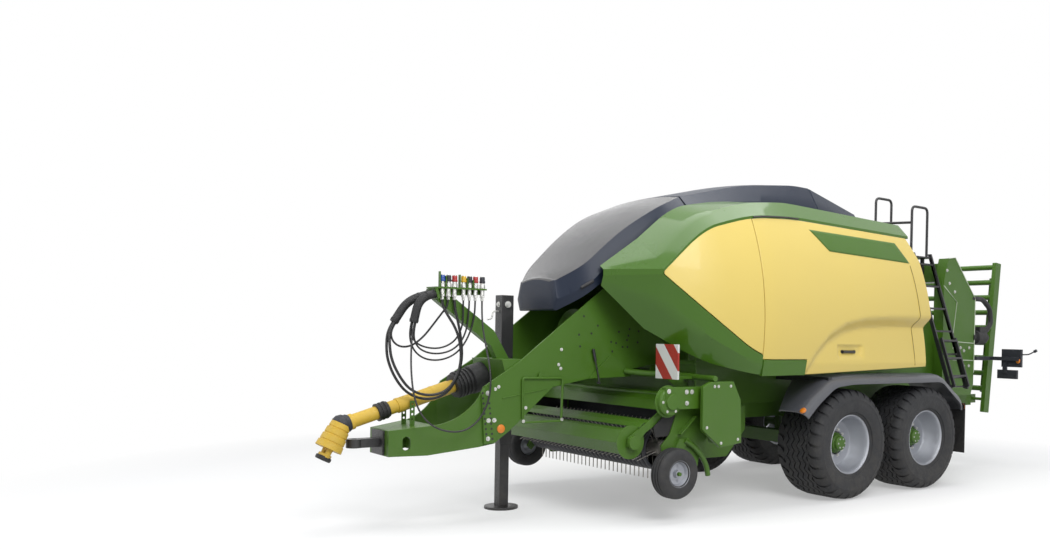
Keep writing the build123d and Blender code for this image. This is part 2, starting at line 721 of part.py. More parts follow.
# Axles and steering knuckles
with BuildPart(TANDEM) as axle_front:
    with Locations((WHEELBASE_HALF, 0, AXLE_Z)):
        Box(BEAM, 1640, BEAM)
        Cylinder(SPINDLE_R, 2 * TRACK_HALF + 60, rotation=(90, 0, 0))
keep(axle_front.part, "axle_front")

with BuildPart(TANDEM) as axle_rear:
    with Locations((-WHEELBASE_HALF, 0, AXLE_Z)):
        Box(BEAM, 2 * KINGPIN_Y, BEAM)
    with Locations((-WHEELBASE_HALF, KINGPIN_Y, AXLE_Z), (-WHEELBASE_HALF, -KINGPIN_Y, AXLE_Z)):
        Cylinder(75, BEAM)
        Cylinder(KINGPIN_R + 0.6, BEAM, mode=Mode.SUBTRACT)
keep(axle_rear.part, "axle_rear")

for name, hand in (("knuckle_left", 1), ("knuckle_right", -1)):
    with BuildPart(TANDEM) as knuckle:
        with Locations((-WHEELBASE_HALF, hand * KINGPIN_Y, AXLE_Z)):
            Cylinder(KINGPIN_R, 260)
        with Locations((-WHEELBASE_HALF, hand * (KINGPIN_Y + 50), AXLE_Z + 105),
                       (-WHEELBASE_HALF, hand * (KINGPIN_Y + 50), AXLE_Z - 105)):
            Box(130, 200, 50)
        with Locations((-WHEELBASE_HALF, hand * (KINGPIN_Y + 130), AXLE_Z)):
            Box(130, 70, 260)
        with Locations((-WHEELBASE_HALF, hand * (TRACK_HALF - 110), AXLE_Z)):
            Cylinder(SPINDLE_R, 300, rotation=(90, 0, 0))
    keep(knuckle.part, name)

# Road wheels
for axle, axle_x in (("front", WHEELBASE_HALF), ("rear", -WHEELBASE_HALF)):
    for hand_name, hand in (("left", 1), ("right", -1)):
        centre = hand * TRACK_HALF
        with BuildPart() as tyre:
            with BuildSketch(hub_plane(axle_x, AXLE_Z)):
                Polygon((centre - 255, RIM_R - 20), (centre - TYRE_HALF_W, 430), (centre - 300, 520),
                        (centre - 250, TYRE_R - 10), (centre - 120, TYRE_R), (centre + 120, TYRE_R),
                        (centre + 250, TYRE_R - 10), (centre + 300, 520), (centre + TYRE_HALF_W, 430),
                        (centre + 255, RIM_R - 20), align=None)
            revolve(axis=lateral(axle_x, AXLE_Z))
        keep(tyre.part, f"tyre_{axle}_{hand_name}")
        with BuildPart() as wheel:
            with BuildSketch(hub_plane(axle_x, AXLE_Z)):
                with BuildLine():
                    Polyline((centre - hand * 255, RIM_R - 20), (centre + hand * 255, RIM_R - 20),
                             (centre + hand * 255, RIM_R - 42), (centre + hand * 60, 250),
                             (centre + hand * 30, 165), (centre + hand * 70, 140),
                             (centre + hand * 110, 95), (centre + hand * 190, 85),
                             (centre + hand * 190, 0), (centre + hand * 60, 0),
                             (centre + hand * 60, SPINDLE_R + 0.6), (centre - hand * 120, SPINDLE_R + 0.6),
                             (centre - hand * 120, 140), (centre, 165), (centre + hand * 30, 258),
                             (centre - hand * 255, RIM_R - 42), (centre - hand * 255, RIM_R - 20))
                make_face()
            revolve(axis=lateral(axle_x, AXLE_Z))
        keep(wheel.part, f"wheel_{axle}_{hand_name}")

# Pick-up: side plates on a pivot tube, stripper bands, reel
PICKUP_SIDE = [(2330, 1075), (2450, 1090), (2790, 1215), (2860, 1190), (3020, 800), (3120, 700),
               (3090, 560), (2960, 500), (2790, 370), (2690, 370), (2640, 600), (2440, 935), (2340, 940)]
with BuildPart(TANDEM) as pickup_frame:
    for y in (1195, -1180):
        with BuildSketch(side(y)):
            Polygon(*PICKUP_SIDE, align=None)
        extrude(amount=15)
    with BuildSketch(side(1240)):
        with Locations(REEL):
            Circle(25.6)
        with Locations(GUARD_PIVOT):
            Circle(25.6)
    extrude(amount=2480, mode=Mode.SUBTRACT)
    with BuildSketch(side(1190)):
        with Locations(PIVOT):
            Circle(45)
    extrude(amount=2380)
    for y in (1225, -1195):
        with BuildSketch(side(y)):
            Polygon((2800, 760), (2920, 760), (GAUGE[0] + 45, GAUGE[1]), (GAUGE[0], GAUGE[1] - 45),
                    (GAUGE[0] - 45, GAUGE[1]), align=None)
        extrude(amount=30)
    with BuildSketch(side(1395)):
        with Locations(GAUGE):
            Circle(18)
    extrude(amount=175)
    with BuildSketch(side(-1220)):
        with Locations(GAUGE):
            Circle(18)
    extrude(amount=175)
keep(pickup_frame.part, "pickup_frame")

BEAM_REACH = TINE_R + 45
BEAM_ANGLES = (145, -135)
BAND_W = 46
BAND_T = 6


def around_reel(reach, angle):
    return REEL[0] + reach * cos(radians(angle)), REEL[1] + reach * sin(radians(angle))


BEAMS = [around_reel(BEAM_REACH, angle) for angle in BEAM_ANGLES]
WRAP = degrees(acos(BAND_R / BEAM_REACH))
BAND_ARC = [around_reel(BAND_R, BEAM_ANGLES[0] - WRAP), around_reel(BAND_R, sum(BEAM_ANGLES) / 2),
            around_reel(BAND_R, BEAM_ANGLES[1] + WRAP)]
with BuildPart() as stripper_bands:
    for i in range(TINE_COLUMNS - 1):
        middle = (i + 0.5 - (TINE_COLUMNS - 1) / 2) * TINE_PITCH
        with BuildSketch(side(middle + BAND_W / 2)):
            with BuildLine():
                Line(BEAMS[0], BAND_ARC[0])
                ThreePointArc(*BAND_ARC)
                Line(BAND_ARC[2], BEAMS[1])
            trace(line_width=BAND_T)
        extrude(amount=BAND_W)
    with BuildSketch(side(1180)):
        for beam in BEAMS:
            with Locations(beam):
                Rectangle(36, 36)
    extrude(amount=2360)
keep(stripper_bands.part, "stripper_bands")

with BuildPart(TANDEM) as reel:
    with Locations((REEL[0], 0, REEL[1])):
        Cylinder(80, 2200, rotation=(90, 0, 0))
        Cylinder(25, 2370, rotation=(90, 0, 0))
    for row in range(TINE_ROWS):
        turn = row * 360 / TINE_ROWS - 90
        reach = (75 + TINE_R) / 2
        place = (REEL[0] + reach * cos(radians(turn)), 0, REEL[1] + reach * sin(radians(turn)))
        spots = [(place[0], (i - (TINE_COLUMNS - 1) / 2) * TINE_PITCH, place[2]) for i in range(TINE_COLUMNS)]
        with Locations(*[Location(spot, (0, -turn, 0)) for spot in spots]):
            Box(TINE_R - 75, 8, 8)
keep(reel.part, "reel")

# Crop guard on arms, with bent sheets across, and its folded roller
GUARD_SHEETS = [[(3345, 878), (3300, 915), (3210, 940)], [(2800, 1150), (2890, 1100), (2960, 1012)]]
with BuildPart(TANDEM) as crop_guard:
    for y in (1160, -1145):
        with BuildSketch(side(y)):
            Polygon((2750, 1130), (2790, 1210), (2860, 1190), (3300, 900), (3480, 790), (3490, 710),
                    (3410, 690), (3280, 830), align=None)
        extrude(amount=15)
    with BuildSketch(side(1198)):
        with Locations(GUARD_PIVOT):
            Circle(25)
    extrude(amount=2396)
    for sheet in GUARD_SHEETS:
        with BuildSketch(side(1150)):
            with BuildLine():
                FilletPolyline(*sheet, radius=30)
            trace(line_width=6)
        extrude(amount=2300)
    with BuildSketch(side(1300)):
        with Locations(ROLLER):
            Circle(20.6)
    extrude(amount=2600, mode=Mode.SUBTRACT)
keep(crop_guard.part, "crop_guard")

with BuildPart(TANDEM) as crop_roller:
    with BuildSketch(side(1118)):
        with Locations(ROLLER):
            RegularPolygon(ROLLER_R, 6)
    extrude(amount=2236)
    with Locations((ROLLER[0], 0, ROLLER[1])):
        Cylinder(20, 2332, rotation=(90, 0, 0))
    with Locations((ROLLER[0], 1125, ROLLER[1]), (ROLLER[0], -1125, ROLLER[1])):
        Cylinder(155, 14, rotation=(90, 0, 0))
    with Locations((ROLLER[0], 1182, ROLLER[1]), (ROLLER[0], -1182, ROLLER[1])):
        Cylinder(62, 34, rotation=(90, 0, 0))
keep(crop_roller.part, "crop_roller")

for name, hand in (("gauge_wheel_left", 1), ("gauge_wheel_right", -1)):
    with BuildPart() as gauge_wheel:
        with BuildSketch(hub_plane(*GAUGE)):
            Polygon((hand * (GAUGE_Y - 85), 18.6), (hand * (GAUGE_Y - 85), GAUGE_R - 30),
                    (hand * (GAUGE_Y - 55), GAUGE_R), (hand * (GAUGE_Y + 55), GAUGE_R),
                    (hand * (GAUGE_Y + 85), GAUGE_R - 30), (hand * (GAUGE_Y + 85), 110),
                    (hand * (GAUGE_Y + 50), 95), (hand * (GAUGE_Y + 50), 18.6), align=None)
        revolve(axis=lateral(*GAUGE))
    keep(gauge_wheel.part, name)

with BuildPart(TANDEM) as feed_rotor:
    with Locations((ROTOR[0], 0, ROTOR[1])):
        Cylinder(120, 1640, rotation=(90, 0, 0))
        Cylinder(40, 1698, rotation=(90, 0, 0))
    for i in range(12):
        star = Plane(origin=(TANDEM_X + ROTOR[0], 770 - 135 * i, ROTOR[1]), x_dir=(1, 0, 0),
                     z_dir=(0, -1, 0))
        with BuildSketch(star):
            for arm in range(4):
                with Locations(Rot(0, 0, 90 * arm + 23 * i)):
                    Polygon((60, -60), (ROTOR_R, -12), (ROTOR_R, 22), (60, 80), align=None)
        extrude(amount=16)
keep(feed_rotor.part, "feed_rotor")

# Guards at the pick-up: cross tube, drive cover, warning boards
with BuildPart(TANDEM) as guard_tube:
    with Locations((2640, 0, 1328)):
        Cylinder(28, 2800, rotation=(90, 0, 0))
    for hand in (1, -1):
        with Locations((2640, hand * 440, 1377)):
            Box(50, 20, 96)
        with Locations((2800, hand * 1080, 1328)):
            Box(320, 40, 30)
keep(guard_tube.part, "guard_tube")

with BuildPart() as drive_covers:
    for y in (1400, -1230):
        with BuildSketch(side(y)):
            Polygon((2683, 1300), (2382, 1300), (2286, 1120), (2268, 641), (2574, 625), (2683, 760),
                    align=None)
        extrude(amount=170)
keep(drive_covers.part, "drive_covers")

with BuildPart(TANDEM) as warning_boards:
    for hand in (1, -1):
        with Locations((2970, hand * 1080, 1480)):
            Box(20, 330, 330)
keep(warning_boards.part, "warning_boards")

# Rear: portal frame, chute, ladder, rails, lamps
PORTAL_SIDE = [(-1900, 1010), (-1900, 2500), (-1990, 2800), (-2140, 2815), (-2620, 2300), (-2620, 1150),
               (-2560, 1010)]
with BuildPart(TANDEM) as rear_frame:
    for y in (790, -640):
        with BuildSketch(side(y)):
            Polygon(*PORTAL_SIDE, align=None)
        extrude(amount=150)
    with Locations((-2150, 0, 2620)):
        Box(300, 1280, 240)
keep(rear_frame.part, "rear_frame")

CHUTE = Plane(origin=(TANDEM_X + CHUTE_HINGE[0], 0, CHUTE_HINGE[1]), x_dir=(0, 1, 0),
              z_dir=(-sin(radians(CHUTE_LEAN)), 0, cos(radians(CHUTE_LEAN))))
with BuildPart(CHUTE) as chute:
    for y in (690, -690):
        with Locations((y, 0, (CHUTE_LENGTH - 180) / 2)):
            Box(60, 120, CHUTE_LENGTH + 180)
    for i in range(9):
        with Locations((0, 0, 150 + i * 212)):
            Cylinder(36, 1330, rotation=(0, 90, 0))
    with Locations((0, 0, 0)):
        Cylinder(20, 1330, rotation=(0, 90, 0))
keep(chute.part, "chute")

LADDER_X = (-1470, -1830)
LADDER_MID = sum(LADDER_X) / 2
LADDER_FOOT = (1200, 1130)
LADDER_TOP = (610, 2850)
LADDER_LEAN = degrees(atan2(LADDER_FOOT[0] - LADDER_TOP[0], LADDER_TOP[1] - LADDER_FOOT[1]))
PLATFORM_Z = LADDER_TOP[1] - 50
STEP_PIN = (LADDER_FOOT[0] - 10, LADDER_FOOT[1] + 30)
RUNGS = 6
with BuildPart(TANDEM) as ladder:
    for x in LADDER_X:
        with BuildSketch(across(x - 12)):
            Polygon((LADDER_FOOT[0] - 25, LADDER_FOOT[1]), (LADDER_FOOT[0] + 25, LADDER_FOOT[1]),
                    (LADDER_TOP[0] + 25, LADDER_TOP[1]), (LADDER_TOP[0] - 25, LADDER_TOP[1]), align=None)
        extrude(amount=24)
    for i in range(RUNGS):
        part = (i + 0.5) / RUNGS
        with Locations((LADDER_MID, LADDER_FOOT[0] + (LADDER_TOP[0] - LADDER_FOOT[0]) * part,
                        LADDER_FOOT[1] + (LADDER_TOP[1] - LADDER_FOOT[1]) * part)):
            Box(360, 40, 24)
    with Locations((LADDER_MID, LADDER_TOP[0] + 6, PLATFORM_Z)):
        Box(360, 40, 20)
    with BuildSketch(across(LADDER_X[1] - 50)):
        with Locations(STEP_PIN):
            Circle(9.4)
    extrude(amount=460, mode=Mode.SUBTRACT)
keep(ladder.part, "ladder")

# The lower step section lies folded up on the outside of the ladder, on a pin at its foot
STEP_PLANE = Plane(origin=(TANDEM_X + LADDER_MID, *STEP_PIN), x_dir=(1, 0, 0),
                   z_dir=(0, -sin(radians(LADDER_LEAN)), cos(radians(LADDER_LEAN))))
with BuildPart(STEP_PLANE) as ladder_step:
    for x in (-150, 150):
        with Locations((x, 50, 310)):
            Box(24, 40, 620)
        with Locations((x, 25, 0)):
            Box(24, 90, 40)
    for height in (120, 350, 580):
        with Locations((0, 50, height)):
            Box(300, 40, 24)
    with Locations((0, 0, 0)):
        Cylinder(9, 380, rotation=(0, 90, 0))
keep(ladder_step.part, "ladder_step")

with BuildPart(TANDEM) as railing:
    with Locations((LADDER_MID, (LADDER_TOP[0] - 14) / 2, PLATFORM_Z)):
        Box(400, LADDER_TOP[0] - 14, 20)
    for x, y in ((-1500, 60), (-1500, 520), (-1800, 60), (-1800, 520)):
        with Locations((x, y, (CHANNEL_TOP + CHANNEL_WALL + PLATFORM_Z - 10) / 2)):
            Box(40, 40, PLATFORM_Z - 10 - CHANNEL_TOP - CHANNEL_WALL)
    for y, top in ((560, 3450), (30, 3600)):
        for x in LADDER_X:
            with Locations((x, y, (PLATFORM_Z + 10 + top) / 2)):
                Cylinder(17, top - PLATFORM_Z - 10)
        with Locations((LADDER_MID, y, top)):
            Cylinder(17, 394, rotation=(0, 90, 0))
keep(railing.part, "railing")

with BuildPart(TANDEM) as tail_lamps:
    for hand in (1, -1):
        with Locations((-2830, hand * 810, 1500)):
            Box(420, 40, 50)
        with Locations((-3020, hand * 1000, 1500)):
            Box(40, 420, 50)
        with Locations((-3060, hand * 1090, 1510)):
            Box(40, 290, 240)
        with Locations((-3060, hand * 1030, 1290)):
            Box(40, 290, 120)
        with Locations((-3040, hand * 1000, 1400)):
            Box(30, 60, 200)
keep(tail_lamps.part, "tail_lamps")
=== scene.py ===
"""Looks of the large square baler: finishes, smooth skins, tyre tread, hoses and small fittings."""
import json
import math

import bmesh
import bpy
from mathutils import Matrix, Vector


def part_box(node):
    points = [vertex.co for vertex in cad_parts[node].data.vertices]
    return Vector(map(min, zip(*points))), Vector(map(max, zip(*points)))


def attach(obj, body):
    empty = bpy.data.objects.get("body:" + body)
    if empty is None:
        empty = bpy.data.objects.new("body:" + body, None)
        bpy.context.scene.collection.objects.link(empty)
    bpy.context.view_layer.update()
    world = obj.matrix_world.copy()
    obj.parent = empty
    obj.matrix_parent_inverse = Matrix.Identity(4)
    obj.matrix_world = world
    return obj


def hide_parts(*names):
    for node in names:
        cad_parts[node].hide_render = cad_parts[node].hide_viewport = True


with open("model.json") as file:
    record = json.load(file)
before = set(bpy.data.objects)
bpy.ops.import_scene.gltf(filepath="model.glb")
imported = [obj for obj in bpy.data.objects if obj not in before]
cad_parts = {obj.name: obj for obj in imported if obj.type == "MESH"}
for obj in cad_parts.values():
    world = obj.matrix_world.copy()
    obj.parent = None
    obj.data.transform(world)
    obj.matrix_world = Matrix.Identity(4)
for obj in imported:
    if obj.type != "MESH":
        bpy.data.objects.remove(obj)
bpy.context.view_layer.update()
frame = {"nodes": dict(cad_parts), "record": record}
nodes = frame["nodes"]

# Datum: every place below is in metres, forward and left of the tandem centre and up from the ground
front_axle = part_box("axle_front")
rear_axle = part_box("axle_rear")
TANDEM_X = (front_axle[0].x + front_axle[1].x + rear_axle[0].x + rear_axle[1].x) / 4
AXLE_Z = (front_axle[0].z + front_axle[1].z) / 2


def spot(x, y, z):
    """A place measured from the tandem centre."""
    return Vector((TANDEM_X + x, y, z))


# Camera of the photograph, 1050 x 550 pixels
PHOTO_WIDTH, PHOTO_HEIGHT = 1050, 550
FOCAL_PIXELS = 950
OPTICAL_CENTRE = (660, 345)
CAMERA_PLACE = spot(8.7204, 8.0005, 1.7342)
CAMERA_YAW, CAMERA_PITCH, CAMERA_ROLL = 0.8856, 0.0109, 0.0196
SENSOR = 36.0


def photo_camera():
    """A camera with the photograph's place, direction and off-centre framing."""
    data = bpy.data.cameras.new("photo_camera")
    camera = bpy.data.objects.new("photo_camera", data)
    bpy.context.scene.collection.objects.link(camera)
    flat = math.cos(CAMERA_PITCH)
    ahead = Vector((-math.cos(CAMERA_YAW) * flat, -math.sin(CAMERA_YAW) * flat, -math.sin(CAMERA_PITCH)))
    right = ahead.cross(Vector((0, 0, 1))).normalized()
    up = right.cross(ahead)
    turn, lift = math.cos(CAMERA_ROLL), math.sin(CAMERA_ROLL)
    rolled_right = right * turn + up * lift
    rolled_up = up * turn - right * lift
    camera.matrix_world = Matrix((
        (rolled_right.x, rolled_up.x, -ahead.x, CAMERA_PLACE.x),
        (rolled_right.y, rolled_up.y, -ahead.y, CAMERA_PLACE.y),
        (rolled_right.z, rolled_up.z, -ahead.z, CAMERA_PLACE.z),
        (0, 0, 0, 1),
    ))
    data.sensor_width = SENSOR
    data.lens = FOCAL_PIXELS * SENSOR / PHOTO_WIDTH
    data.shift_x = (PHOTO_WIDTH / 2 - OPTICAL_CENTRE[0]) / PHOTO_WIDTH
    data.shift_y = (OPTICAL_CENTRE[1] - PHOTO_HEIGHT / 2) / PHOTO_WIDTH
    data.clip_end = 200
    bpy.context.scene.camera = camera


# Shader groups
COLOUR, VALUE = "NodeSocketColor", "NodeSocketFloat"


def place_node(tree, kind, values=None, links=None, **settings):
    """A node with its settings, its fixed values and the sockets that feed it."""
    node = tree.nodes.new(kind)
    for name, value in settings.items():
        setattr(node, name, value)
    for socket, value in (values or {}).items():
        node.inputs[socket].default_value = value
    for socket, source in (links or {}).items():
        tree.links.new(source, node.inputs[socket])
    return node


def shader_group(name, inputs, outputs):
    """An empty group with named sockets, its input node and its output node."""
    tree = bpy.data.node_groups.new(name, "ShaderNodeTree")
    for label, kind, value in inputs:
        tree.interface.new_socket(label, in_out="INPUT", socket_type=kind).default_value = value
    for label, kind in outputs:
        tree.interface.new_socket(label, in_out="OUTPUT", socket_type=kind)
    return tree, tree.nodes.new("NodeGroupInput"), tree.nodes.new("NodeGroupOutput")


def clouding_group():
    """Uneven tone of a surface: the colour gets lighter and darker in soft clouds."""
    tree, given, out = shader_group(
        "clouding",
        [("Colour", COLOUR, (0.5, 0.5, 0.5, 1)), ("Scale", VALUE, 3.0), ("Amount", VALUE, 0.1)],
        [("Colour", COLOUR), ("Cloud", VALUE)])
    coords = place_node(tree, "ShaderNodeTexCoord")
    noise = place_node(tree, "ShaderNodeTexNoise", {"Detail": 6.0, "Roughness": 0.6},
                       {"Vector": coords.outputs["Object"], "Scale": given.outputs["Scale"]})
    spread = place_node(tree, "ShaderNodeMath", {1: 0.5}, {0: noise.outputs["Fac"]}, operation="SUBTRACT")
    swing = place_node(tree, "ShaderNodeMath", {2: 1.0},
                       {0: spread.outputs[0], 1: given.outputs["Amount"]}, operation="MULTIPLY_ADD")
    toned = place_node(tree, "ShaderNodeHueSaturation", None,
                       {"Value": swing.outputs[0], "Color": given.outputs["Colour"]})
    tree.links.new(toned.outputs["Color"], out.inputs["Colour"])
    tree.links.new(noise.outputs["Fac"], out.inputs["Cloud"])
    return tree


def ground_dust_group():
    """Pale dust that thins out with height and settles in patches."""
    tree, given, out = shader_group(
        "ground_dust",
        [("Colour", COLOUR, (0.5, 0.5, 0.5, 1)), ("Dust", COLOUR, (0.32, 0.28, 0.22, 1)),
         ("Reach", VALUE, 1.0), ("Amount", VALUE, 0.2)],
        [("Colour", COLOUR), ("Mask", VALUE)])
    coords = place_node(tree, "ShaderNodeTexCoord")
    split = place_node(tree, "ShaderNodeSeparateXYZ", None, {0: coords.outputs["Object"]})
    fade = place_node(tree, "ShaderNodeMapRange", {"From Min": 0.0, "To Min": 1.0, "To Max": 0.0},
                      {"Value": split.outputs["Z"], "From Max": given.outputs["Reach"]})
    patches = place_node(tree, "ShaderNodeTexNoise", {"Scale": 9.0, "Detail": 8.0, "Roughness": 0.7},
                         {"Vector": coords.outputs["Object"]})
    sharper = place_node(tree, "ShaderNodeMapRange", {"From Min": 0.35, "From Max": 0.75},
                         {"Value": patches.outputs["Fac"]})
    lying = place_node(tree, "ShaderNodeMath", None,
                       {0: fade.outputs[0], 1: sharper.outputs[0]}, operation="MULTIPLY")
    mask = place_node(tree, "ShaderNodeMath", None,
                      {0: lying.outputs[0], 1: given.outputs["Amount"]}, operation="MULTIPLY")
    dusted = place_node(tree, "ShaderNodeMix", None,
                        {0: mask.outputs[0], 6: given.outputs["Colour"], 7: given.outputs["Dust"]},
                        data_type="RGBA")
    tree.links.new(dusted.outputs[2], out.inputs["Colour"])
    tree.links.new(mask.outputs[0], out.inputs["Mask"])
    return tree


def surface_grain_group():
    """Height of a fine grain on long soft waves, as on lacquered sheet or moulded rubber."""
    tree, given, out = shader_group(
        "surface_grain",
        [("Grain", VALUE, 300.0), ("Wave", VALUE, 2.5), ("Share", VALUE, 0.2)],
        [("Height", VALUE)])
    coords = place_node(tree, "ShaderNodeTexCoord")
    fine = place_node(tree, "ShaderNodeTexNoise", {"Detail": 2.0},
                      {"Vector": coords.outputs["Object"], "Scale": given.outputs["Grain"]})
    slow = place_node(tree, "ShaderNodeTexNoise", {"Detail": 1.0},
                      {"Vector": coords.outputs["Object"], "Scale": given.outputs["Wave"]})
    height = place_node(tree, "ShaderNodeMath", None,
                        {0: fine.outputs["Fac"], 1: given.outputs["Share"], 2: slow.outputs["Fac"]},
                        operation="MULTIPLY_ADD")
    tree.links.new(height.outputs[0], out.inputs["Height"])
    return tree


CLOUDING = clouding_group()
GROUND_DUST = ground_dust_group()
SURFACE_GRAIN = surface_grain_group()


# Finishes
COAT_ROUGHNESS, DUST_MATT = 0.06, 0.5
CLOUD_LOW, CLOUD_HIGH, ROUGH_LESS, ROUGH_MORE = 0.2, 0.8, 0.85, 1.2


def finish(name, colour, roughness, metallic=0.0, coat=0.0, cloud=(2.0, 0.08), dust=(1.2, 0.12),
           grain=(350.0, 2.0, 0.15), bump=0.02, gloss=0.5):
    """A finish with clouded colour, ground dust and a fine grain.

    cloud is (scale, amount), dust is (reach, amount), grain is (fine scale, wave scale, share of fine)."""
    material = bpy.data.materials.new(name)
    material.use_nodes = True
    tree = material.node_tree
    shader = tree.nodes["Principled BSDF"]
    shader.inputs["Metallic"].default_value = metallic
    shader.inputs["Coat Weight"].default_value = coat
    shader.inputs["Specular IOR Level"].default_value = gloss
    shader.inputs["Coat Roughness"].default_value = COAT_ROUGHNESS
    clouds = place_node(tree, "ShaderNodeGroup", node_tree=CLOUDING)
    clouds.inputs["Colour"].default_value = (*colour, 1)
    clouds.inputs["Scale"].default_value = cloud[0]
    clouds.inputs["Amount"].default_value = cloud[1]
    dusty = place_node(tree, "ShaderNodeGroup", node_tree=GROUND_DUST)
    dusty.inputs["Reach"].default_value = dust[0]
    dusty.inputs["Amount"].default_value = dust[1]
    tree.links.new(clouds.outputs["Colour"], dusty.inputs["Colour"])
    tree.links.new(dusty.outputs["Colour"], shader.inputs["Base Color"])
    rough = place_node(tree, "ShaderNodeMapRange",
                       {"From Min": CLOUD_LOW, "From Max": CLOUD_HIGH,
                        "To Min": roughness * ROUGH_LESS, "To Max": roughness * ROUGH_MORE},
                       {"Value": clouds.outputs["Cloud"]})
    matt = place_node(tree, "ShaderNodeMath", {1: DUST_MATT},
                      {0: dusty.outputs["Mask"], 2: rough.outputs[0]}, operation="MULTIPLY_ADD")
    tree.links.new(matt.outputs[0], shader.inputs["Roughness"])
    skin = place_node(tree, "ShaderNodeGroup", node_tree=SURFACE_GRAIN)
    for socket, value in zip(("Grain", "Wave", "Share"), grain):
        skin.inputs[socket].default_value = value
    relief = place_node(tree, "ShaderNodeBump", {"Strength": 1.0, "Distance": bump},
                        {"Height": skin.outputs["Height"]})
    tree.links.new(relief.outputs["Normal"], shader.inputs["Normal"])
    return material


def cap_plastic(name, colour):
    """Coloured plastic of caps and reflectors, of the pale tubes of painted highlight along edges, and of
    the dark lines of painted shade along seams.
    """
    return finish(name, colour, 0.32, coat=0.3, cloud=(20.0, 0.12), grain=(400.0, 20.0, 0.5), bump=0.001)


STRIPE_PITCH, STRIPE_STEEP = 0.34, 1.2
STRIPE_WHITE, STRIPE_RED = (0.78, 0.78, 0.76, 1), (0.40, 0.022, 0.012, 1)


def warning_stripes():
    """Red and white diagonal stripes, mirrored from side to side."""
    material = finish("warning_stripes", (0.8, 0.8, 0.8), 0.4, cloud=(6.0, 0.05))
    tree = material.node_tree
    coords = place_node(tree, "ShaderNodeTexCoord")
    split = place_node(tree, "ShaderNodeSeparateXYZ", None, {0: coords.outputs["Object"]})
    out = place_node(tree, "ShaderNodeMath", None, {0: split.outputs["Y"]}, operation="ABSOLUTE")
    slant = place_node(tree, "ShaderNodeMath", {1: STRIPE_STEEP}, {0: out.outputs[0], 2: split.outputs["Z"]},
                       operation="MULTIPLY_ADD")
    step = place_node(tree, "ShaderNodeMath", {1: STRIPE_PITCH}, {0: slant.outputs[0]}, operation="DIVIDE")
    share = place_node(tree, "ShaderNodeMath", None, {0: step.outputs[0]}, operation="FRACT")
    red = place_node(tree, "ShaderNodeMath", {1: 0.5}, {0: share.outputs[0]}, operation="GREATER_THAN")
    colour = place_node(tree, "ShaderNodeMix", {6: STRIPE_WHITE, 7: STRIPE_RED}, {0: red.outputs[0]},
                        data_type="RGBA")
    for node in tree.nodes:
        if node.type == "GROUP" and node.node_tree == CLOUDING:
            tree.links.new(colour.outputs[2], node.inputs["Colour"])
    return material


# Mid green of the frame, and the green of the bodywork under a clear gloss
GREEN = finish("green_lacquer", (0.062, 0.158, 0.009), 0.38, coat=0.12, gloss=0.35)
COWL = finish("cowl_lacquer", (0.053, 0.142, 0.007), 0.28, coat=0.45, dust=(1.0, 0.0), bump=0.006, gloss=0.2)
# Pale yellow gloss of the large covers
YELLOW = finish("yellow_lacquer", (0.78, 0.60, 0.152), 0.34, coat=0.2, cloud=(0.8, 0.04), dust=(1.0, 0.0),
                bump=0.008)
# Blue-grey of the hood and the roof, and the dark gloss of the hood's top panel
GREY = finish("grey_lacquer", (0.011, 0.018, 0.037), 0.34, cloud=(1.5, 0.10), dust=(1.2, 0.06), bump=0.008,
              gloss=0.3)
SMOKED = finish("smoked_panel", (0.034, 0.034, 0.038), 0.16, coat=0.5, cloud=(1.2, 0.25), dust=(1.2, 0.0))
# Moulded blue-grey plastic of the fenders, its colour lightened by a painted reflection of the sky
FENDER_AND_PAINTED_REFLECTION = finish("fender_plastic_and_painted_reflection", (0.082, 0.086, 0.100), 0.36, coat=0.3, cloud=(3.0, 0.15), dust=(1.4, 0.10))
# Black of the jack, the ladder and the hitch, and silver of the wheels
BLACK = finish("black_lacquer", (0.012, 0.012, 0.014), 0.38, coat=0.2)
SILVER = finish("rim_lacquer", (0.41, 0.425, 0.465), 0.34, metallic=0.6, coat=0.15, dust=(0.9, 0.15))
# Rubber of the tyres with a blue-grey bloom, and that of boots, flaps and sleeves
RUBBER = finish("tyre_rubber", (0.017, 0.018, 0.021), 0.62, cloud=(6.0, 0.35), dust=(1.3, 0.14),
                grain=(160.0, 12.0, 0.5), bump=0.01)
SOFT_RUBBER = finish("soft_rubber", (0.011, 0.011, 0.012), 0.5, cloud=(8.0, 0.25), grain=(220.0, 14.0, 0.6),
                     bump=0.008)
# Strong yellow plastic of the drive shaft guard
GUARD = finish("guard_plastic", (0.72, 0.47, 0.045), 0.42, cloud=(7.0, 0.16), dust=(1.5, 0.3),
               grain=(200.0, 10.0, 0.5), bump=0.006)
# Plain steel of tines, pins and yokes, blue-black of the stripper bands, bright zinc of bolts and couplings
STEEL = finish("bare_steel", (0.42, 0.40, 0.37), 0.38, metallic=0.9, cloud=(14.0, 0.3))
BAND = finish("band_lacquer", (0.022, 0.024, 0.032), 0.34, metallic=0.3, cloud=(10.0, 0.25))
ZINC = finish("zinc", (0.62, 0.62, 0.60), 0.3, metallic=0.95, cloud=(30.0, 0.2))
# Dark moulded case of the lamps, and the warning boards
CASE = finish("lamp_case", (0.02, 0.022, 0.03), 0.45, cloud=(9.0, 0.2))
STRIPES = warning_stripes()
# Rubber of the hoses, with a slight shine
HOSE = finish("hose_rubber", (0.010, 0.010, 0.011), 0.36, cloud=(12.0, 0.25), grain=(260.0, 30.0, 0.6),
              bump=0.002)
RED_CAP = cap_plastic("red_cap", (0.42, 0.016, 0.014))
BLUE_CAP = cap_plastic("blue_cap", (0.018, 0.075, 0.36))
YELLOW_CAP = cap_plastic("yellow_cap", (0.70, 0.42, 0.02))
ORANGE = cap_plastic("orange_lens", (0.80, 0.23, 0.012))
# Pale green of the tubes along the portal's edges: a painted highlight on the green lacquer's edges
PAINTED_EDGE_HIGHLIGHT = cap_plastic("painted_edge_highlight", (0.60, 0.68, 0.52))
SEAM_SHADE = cap_plastic("seam_shade", (0.26, 0.19, 0.045))

